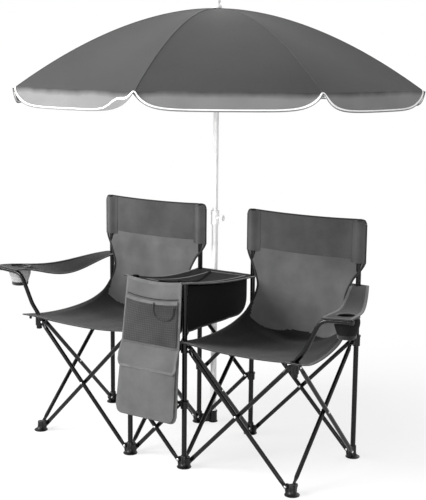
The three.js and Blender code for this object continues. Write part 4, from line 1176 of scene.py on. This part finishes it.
def make_cooler():
    """Soft box under the table, open at the top, in a left and a right half"""
    outline = cooler_outline()
    wall_x = INNER_X - POST_RADIUS - 4
    for name, x0, x1, nodes in (("left", -wall_x, 0, ["cooler_bag"]), ("right", 0, wall_x, [])):
        shape = Shape()
        grid = [[Vector((x, y, z - 1.5 * waver(x * 0.03, y * 0.03, 1))) for y, z in outline]
                for x in steps(x0, x1, 14)]
        cloth(shape, grid, 2.4, "cooler")
        wall, facing = (grid[0], -X_AXIS) if name == "left" else (grid[-1], X_AXIS)
        cooler_side(shape, outline, facing, wall_x)
        tape(shape, wall, 7, 4.4, "binding", facing)
        fold_back(shape.piece(f"cooler_bag_{name}", INNER_BODY[name], "cooler_fabric", *nodes))


def cooler_side(shape, outline, facing, wall_x):
    """Side wall, slightly crowned, between the profile and the table"""
    sign = facing.x
    depths = steps(outline[0][0] + 0.5, outline[-1][0] - 0.5, 26)
    grid = []
    for row in steps(0, 1, 14):
        line = []
        bulge = math.sin(math.pi * row)
        for column, y in zip(steps(0, 1, 26), depths):
            z = lerp(table_height(sign * INNER_X, y) - COOLER_TOP_GAP, bottom_of(outline, y), row)
            crown = 3.0 * math.sin(math.pi * column) + 1.6 * waver(y * 0.02, z * 0.035, sign * 4)
            line.append(Vector((sign * (wall_x + crown * bulge), y, z)))
        grid.append(line)
    cloth(shape, grid, 2.2, "cooler")


def bottom_of(outline, y):
    """Lowest height of the profile at a depth"""
    return min(
        lerp(z0, z1, (y - y0) / (y1 - y0))
        for (y0, z0), (y1, z1) in zip(outline, outline[1:])
        if min(y0, y1) <= y <= max(y0, y1) and abs(y1 - y0) > 1e-6
    )


def panel_at(top, bottom, z):
    return lerp(top, bottom, (PANEL_TOP - z) / (PANEL_TOP - PANEL_BOTTOM))


def panel_out(z):
    return panel_at(PANEL_TOP_OUT, PANEL_BOTTOM_OUT, z)


def panel_half(z):
    return panel_at(PANEL_TOP_WIDTH, PANEL_BOTTOM_WIDTH, z) / 2


def panel_grid(top, bottom, extra, inset, rows, puff=0.0, corner=0.0):
    """Points on the hanging panel; corner rounds its lower corners and puff swells its middle"""
    grid = []
    for share in steps(0, 1, rows):
        line = []
        for across in steps(-1, 1, 48):
            z = lerp(top, bottom, share)
            half = panel_half(z) - inset
            if corner:
                rise = max(0.0, abs(across) * half - (half - corner))
                lifted = corner - math.sqrt(max(0.0, corner ** 2 - min(rise, corner) ** 2))
                z = lerp(top, bottom + lifted, share)
            z -= front_dip(across) * clamp((z - NET_BOTTOM) / (NET_TOP - NET_BOTTOM))
            swell = puff * math.sin(math.pi * clamp((across + 1) / 2)) ** 0.6
            swell *= math.sin(math.pi * clamp(share * 0.94 + 0.06)) ** 0.5
            ripple = 0.8 * waver(across * 3.1, z * 0.016, extra)
            y = FRONT_Y - panel_out(z) - extra - swell - ripple
            line.append(Vector((across * (panel_half(z) - inset), y, z)))
        grid.append(line)
    return grid


PANEL_FACING = Vector((0, -1, 0.1))
NET_POCKET = [(0.12, 12), (0.12, 38), (0.2, 60), (0.42, 70), (0.66, 68), (0.8, 52), (0.84, 18)]


def panel_tape(shape, grid, width, thickness, sides):
    """Binding along the named edges of a panel: left, right, top, bottom"""
    runs = {
        "t": grid[0],
        "r": [line[-1] for line in grid],
        "b": grid[-1][::-1],
        "l": [line[0] for line in grid[::-1]],
    }
    centre = sum((grid[r][c] for r in (0, -1) for c in (0, -1)), Vector()) / 4
    for side in sides:
        tape(shape, runs[side], width, thickness, "piping", PANEL_FACING, centre)


def make_organizer():
    shape = Shape()
    whole = panel_grid(PANEL_TOP, PANEL_BOTTOM, 0, 0, 80, corner=26)
    cloth(shape, whole, 2.4, "organizer")
    panel_tape(shape, whole, 12, 4.8, "lrtb")
    net = panel_grid(NET_TOP, NET_BOTTOM, 8, 8, 34, puff=5)
    cloth(shape, net, 1.4, "net")
    panel_tape(shape, net, 13, 4.0, "t")
    edge = panel_grid(NET_TOP + 8, NET_TOP + 7, 3, 8, 1)[0]
    tape(shape, edge, 4.2, 3.0, "binding", PANEL_FACING)
    pocket = [(across, NET_TOP - below) for across, below in NET_POCKET]
    pocket = [Vector((across * panel_half(z), FRONT_Y - panel_out(z) - 14.5, z)) for across, z in pocket]
    tape(shape, spline_line(pocket, 40), 5, 3.0, "binding", PANEL_FACING)
    for z in (NET_TOP + 6, NET_BOTTOM - 4, POUCH_TOP + 40):
        cloth(shape, panel_grid(z + 5, z - 5, 2.2, 4, 3), 1.6, "organizer")
    pouch = panel_grid(POUCH_TOP, PANEL_BOTTOM + 4, 9, 6, 50, puff=8, corner=26)
    cloth(shape, pouch, 2.0, "organizer")
    panel_tape(shape, pouch, 8, 4.0, "t")
    flap = Shape()
    grid = panel_grid(FLAP_TOP, FLAP_BOTTOM, 0, 0, 24, corner=20)
    for point in (point for line in grid for point in line):
        lower = 2.4 * ease(POUCH_TOP, FLAP_BOTTOM, point.z)
        point.y -= lerp(3.5, FLAP_OUT, ease(FLAP_TOP, POUCH_TOP, point.z)) + lower
    cloth(flap, grid, 2.4, "organizer")
    panel_tape(flap, grid, 10, 4.6, "lrb")
    panel = shape.piece("organizer_panel", "left_front_inner_post", "organizer_fabric", "organizer")
    lid = flap.piece("organizer_pouch_flap", "organizer_flap", "organizer_fabric", "organizer_flap")
    for piece in (panel, lid):
        fold_aside(piece)


# Umbrella
def round_pole(height):
    return POLE + Z_AXIS * height


def make_pole():
    lower = Shape()
    bore = UPPER_POLE_RADIUS + 0.3
    profile = [(TIP, 5), (POLE_RADIUS - 1, 5), (POLE_RADIUS, 6), (POLE_RADIUS, POLE_TOP), (bore, POLE_TOP),
               (bore, POLE_TOP - 60), (TIP, POLE_TOP - 60)]
    turned(lower, POLE, profile, "white_tube", 36)
    lower.piece("umbrella_lower_pole_tube", "frame_root", "pole", "umbrella_lower_pole")
    upper = Shape()
    low, high = POLE_TOP - POLE_OVERLAP, CANOPY_TOP + 5
    profile = [(TIP, low), (UPPER_POLE_RADIUS, low), (UPPER_POLE_RADIUS, high), (TIP, high)]
    turned(upper, POLE, profile, "white_tube", 36)
    finial = [(TIP, -4), (11.7, -3), (12.2, -1), (12.2, 3), (11, 5), (7.6, 8.5), (6.8, 10.5), (8.2, 13),
              (9.2, 16), (8.8, 19.5), (6.9, 23.5), (3.6, 26.4), (TIP, 27.3)]
    finial = [(radius * FINIAL_WIDER, along * FINIAL_LONGER) for radius, along in finial]
    turned(upper, round_pole(CANOPY_TOP + 6.5), finial, "white_moulding", 36)
    upper.piece("umbrella_upper_pole_and_finial", "umbrella_top", "pole", "umbrella_upper_pole")


def make_clamp():
    low = POLE_TOP - CLAMP_LENGTH * 0.7
    high = low + CLAMP_LENGTH
    shape = Shape()
    profile = [(POLE_RADIUS + 0.3, low), (15.5, low), (16.4, low + 1.2), (16.5, low + 8), (15.4, low + 9),
               (15.4, high - 18), (16.5, high - 17), (16.5, high - 1.5), (15.2, high),
               (UPPER_POLE_RADIUS + 0.4, high), (UPPER_POLE_RADIUS + 0.4, POLE_TOP + 0.5),
               (POLE_RADIUS + 0.3, POLE_TOP + 0.5)]
    turned(shape, POLE, profile, "white_moulding", 40, closed=True)
    centre = round_pole((low + high) / 2)
    boss = [(TIP, 9), (8.2, 9), (8.2, 18), (7.4, 20.6), (TIP, 21)]
    turned(shape, centre, boss, "white_moulding", 28, X_AXIS)
    screw = [(TIP, -18.2), (3.2, -18.2), (3.4, -17), (3.4, -14)]
    for height in (low + 4.5, high - 9):
        turned(shape, round_pole(height), screw, "white_moulding", 20, X_AXIS)
    shape.piece("pole_clamp_moulding", "frame_root", "pole_moulding", "pole_clamp")
    knob = Shape()
    rings = []
    for radius, along in KNOB_PROFILE:
        ring = []
        for angle in steps(0, 2 * math.pi, 72)[:-1]:
            lobed = radius * (1 + 0.09 * math.cos(6 * angle)) if radius > 8 else radius
            turn = Vector((0, math.cos(angle), math.sin(angle)))
            ring.append(centre + X_AXIS * (KNOB_OUT + along) + turn * lobed)
        rings.append(ring)
    skin(knob, rings, "white_moulding")
    knob.piece("clamp_knob_moulding", "clamp_knob", "pole_moulding", "clamp_knob")


def dome_height(share):
    return CANOPY_TOP - (CANOPY_TOP - CANOPY_RIM) * share ** CANOPY_CURVE


def rib_place(rib, radius):
    angle = CANOPY_TWIST + rib * 2 * math.pi / RIB_COUNT
    return POLE + Vector((math.cos(angle), math.sin(angle), 0)) * radius


def outward(point):
    return Vector((point.x - POLE_X, point.y - POLE_Y, 0)).normalized()


def canopy_point(share, rib, part, lift=0.0):
    """Point on the canopy: share from the pole to the rim, part from one rib to the next"""
    radius = share * CANOPY_RADIUS
    flat = rib_place(rib, radius).lerp(rib_place(rib + 1, radius), part)
    dip = PANEL_DIP * math.sin(math.pi * part) * math.sin(math.pi * min(1.0, share))
    return flat + Z_AXIS * (dome_height(share) - dip + lift)


def notch_share(rib, part):
    """Width of the notch beside a rib; the one that is folded back beside the front panel is wider"""
    folded = (rib == 5 and part > 0.5) or (rib == 7 and part < 0.5)
    return WIDE_NOTCH_SHARE if folded else NOTCH_SHARE


def to_rib(part):
    return min(part, 1 - part)


def valance_drop(rib, part):
    longer = 1.08 if rib in (5, 7) else 0.96
    return VALANCE_DROP * longer * (0.05 + 0.95 * (1 - math.exp(-to_rib(part) / notch_share(rib, part))))


def valance_point(rib, part, fall):
    point = canopy_point(1.0, rib, part)
    wave = 6.0 * waver(rib * 1.7, part * 5.0, 0.3)
    curl = 5.0 * math.exp(-to_rib(part) / 0.1)
    return point + (outward(point) * (VALANCE_FLARE + wave + curl) - Z_AXIS * valance_drop(rib, part)) * fall


def hem_tape(shape, rib, parts):
    """White binding along the valance's lower edge, broad round the notches and narrow along the bottom"""
    hem = []
    for part in parts:
        folded = rib == 5 and part > 0.5
        raised = HEM_RAISE + (HEM_FOLD * math.exp(-((to_rib(part) - 0.13) / 0.07) ** 2) if folded else 0)
        hem.append(valance_point(rib, part, max(0.0, 1 - raised / valance_drop(rib, part))))
    broad = [math.exp(-((to_rib(part) / (1.7 * notch_share(rib, part))) ** 2)) for part in parts]
    widths = [lerp(4.6, 9.0, share) for share in broad]
    tape(shape, hem, 9, 4.6, "hem", [outward(point) for point in hem], widths=widths)


def make_canopy():
    shape = Shape()
    start = 0.017
    fine = [0.0, 0.008, 0.017, 0.027, 0.038, 0.05, 0.064, 0.08, 0.1, 0.125, 0.155, 0.19, 0.23, 0.28]
    parts = fine + steps(0.33, 0.67, 7) + [1 - value for value in fine[::-1]]
    shares = steps(0, 1, 34)
    for rib in range(RIB_COUNT):
        grid = [[canopy_point(lerp(start, 1.0, share ** 0.9), rib, part) for part in steps(0, 1, 26)]
                for share in shares]
        cloth(shape, grid, CANOPY_THICKNESS, "canopy")
        grid = [[valance_point(rib, part, fall) for part in parts] for fall in steps(0, 1, 9)]
        cloth(shape, grid, CANOPY_THICKNESS, "canopy")
        hem_tape(shape, rib, parts)
        seam = [canopy_point(lerp(start, 1.0, share), rib, 0.0, 0.9) for share in shares]
        tape(shape, seam, 3.6, 2.0, "canopy_seam", Z_AXIS)
    piece = shape.piece("umbrella_canopy_cloth", "umbrella_top", "canopy_fabric", "umbrella_canopy")


def rib_point(index, share, lift):
    return rib_place(index, share * CANOPY_RADIUS) + Z_AXIS * (dome_height(share) - lift)


def make_ribs():
    shape = Shape()
    top = dome_height(48 / CANOPY_RADIUS) - 2.7
    crown = [(RIB_BORE, -22), (20, -22), (23, -20), (24, -16), (24, -4), (21, -0.6), (RIB_BORE, 0)]
    turned(shape, round_pole(top), crown, "white_moulding", 36, closed=True)
    cap = [(TIP, -8), (3.6, -8), (3.8, 0), (3.6, 3), (2.2, 5), (TIP, 5.4)]
    for i in range(RIB_COUNT):
        path = [rib_point(i, share, RIB_LIFT) for share in steps(0.026, 0.985, 36)]
        swept(shape, path, RIB_RADIUS, "white_tube", 12)
        turned(shape, path[-1], cap, "white_moulding", 16, path[-1] - path[-2])
    shape.piece("umbrella_crown_and_rib_set", "umbrella_top", "pole", "umbrella_crown_and_ribs")
    runner = Shape()
    profile = [(RIB_BORE, 0), (16, 0), (17, 1), (17, 14), (22, 16), (24, 18), (24, 28), (22, 30), (17, 32),
               (17, RUNNER_LENGTH - 1), (16, RUNNER_LENGTH), (RIB_BORE, RUNNER_LENGTH)]
    turned(runner, round_pole(RUNNER_HEIGHT), profile, "white_moulding", 36, closed=True)
    pin = [(TIP, -4.5), (4, -4.5), (4, 4.5), (TIP, 4.5)]
    for i in range(RIB_COUNT):
        end = rib_point(i, STRETCHER_REACH / CANOPY_RADIUS, RIB_LIFT + RIB_RADIUS * 2.2)
        start = round_pole(RUNNER_HEIGHT + RUNNER_LENGTH / 2) + outward(end) * 20
        path = [start.lerp(end, share) for share in steps(0, 1, 8)]
        swept(runner, path, RIB_RADIUS - 0.3, "white_tube", 12)
        turned(runner, end, pin, "white_moulding", 14, outward(end).cross(Z_AXIS))
    runner.piece("umbrella_runner_and_stretcher_set", "umbrella_top", "pole_moulding",
                 "umbrella_runner_and_stretchers")


# Stage, light and camera
def background_rays(tree):
    """1 for the rays that should see the plain white background"""
    rays = add_node(tree, "ShaderNodeLightPath").outputs
    value = rays["Is Camera Ray"]
    for name in ("Is Glossy Ray", "Is Transmission Ray"):
        value = combined(tree, "MAXIMUM", value, rays[name])
    return value


def mixed_shader(tree, factor, first, second, target):
    mix = add_node(tree, "ShaderNodeMixShader", enumerate((factor, first.outputs[0], second.outputs[0])))
    tree.links.new(mix.outputs[0], tree.nodes[target].inputs["Surface"])


def make_stage():
    """White floor that keeps a soft shadow near the object and turns plain white further out"""
    white = (1, 1, 1, 1)
    bpy.ops.mesh.primitive_plane_add(size=60, location=(0, 0, 0))
    floor = bpy.context.object
    floor.name = "floor"
    material, tree, shader = principled("floor_white", (0.9, 0.9, 0.9, 1), 0.9, Specular_IOR_Level=0.0)
    plain = add_node(tree, "ShaderNodeEmission", {"Color": white, "Strength": 1.0})
    length = add_node(tree, "ShaderNodeVectorMath", {0: object_place(tree)}, operation="LENGTH")
    share = remapped(tree, length.outputs["Value"], 0.7, 1.9, FLOOR_WHITE_SHARE, 1.0)
    factor = combined(tree, "MULTIPLY", share, background_rays(tree))
    mixed_shader(tree, factor, shader, plain, "Material Output")
    floor.data.materials.append(material)
    world = bpy.data.worlds.new("studio")
    bpy.context.scene.world = world
    world.use_nodes = True
    tree = world.node_tree
    light = tree.nodes["Background"]
    light.inputs["Color"].default_value = white
    light.inputs["Strength"].default_value = WORLD_LIGHT
    shown = add_node(tree, "ShaderNodeBackground", {"Color": white, "Strength": 1.0})
    mixed_shader(tree, background_rays(tree), light, shown, "World Output")


def make_lamp(name, place, target, size, power):
    data = bpy.data.lights.new(name, "AREA")
    data.size = size
    data.energy = power
    lamp = bpy.data.objects.new(name, data)
    lamp.location = place
    lamp.rotation_euler = (Vector(target) - Vector(place)).to_track_quat("-Z", "Y").to_euler()
    bpy.context.scene.collection.objects.link(lamp)


def make_camera():
    data = bpy.data.cameras.new("camera")
    data.lens = CAMERA_LENS
    data.sensor_width = 36
    camera = bpy.data.objects.new("camera", data)
    bpy.context.scene.collection.objects.link(camera)
    yaw, pitch, roll = (math.radians(angle) for angle in (CAMERA_YAW, CAMERA_PITCH, CAMERA_ROLL))
    look = Vector((-math.sin(yaw) * math.cos(pitch), math.cos(yaw) * math.cos(pitch), -math.sin(pitch)))
    level = Vector((math.cos(yaw), math.sin(yaw), 0))
    above = level.cross(look)
    right = level * math.cos(roll) + above * math.sin(roll)
    up = above * math.cos(roll) - level * math.sin(roll)
    turn = Matrix((right, up, -look)).transposed().to_4x4()
    camera.matrix_world = Matrix.Translation(CAMERA_PLACE) @ turn
    bpy.context.scene.camera = camera


bpy.context.scene.view_settings.view_transform = "Standard"
make_camera()
make_stage()
make_lamp("key", (-2.5, -3.5, 2.7), (-0.1, 0, 0.9), 2.4, 370)
make_lamp("fill", (3.2, -4.4, 1.2), (0, 0, 0.8), 2.0, 110)
make_lamp("back", (0.5, 4.5, 3.2), (0, 0, 0.8), 2.5, 60)
make_frame()
for side_name in ("left", "right"):
    make_sling(side_name)
    make_armrest(side_name)
make_table()
make_lid()
make_cooler()
make_organizer()
make_pole()
make_clamp()
make_canopy()
make_ribs()
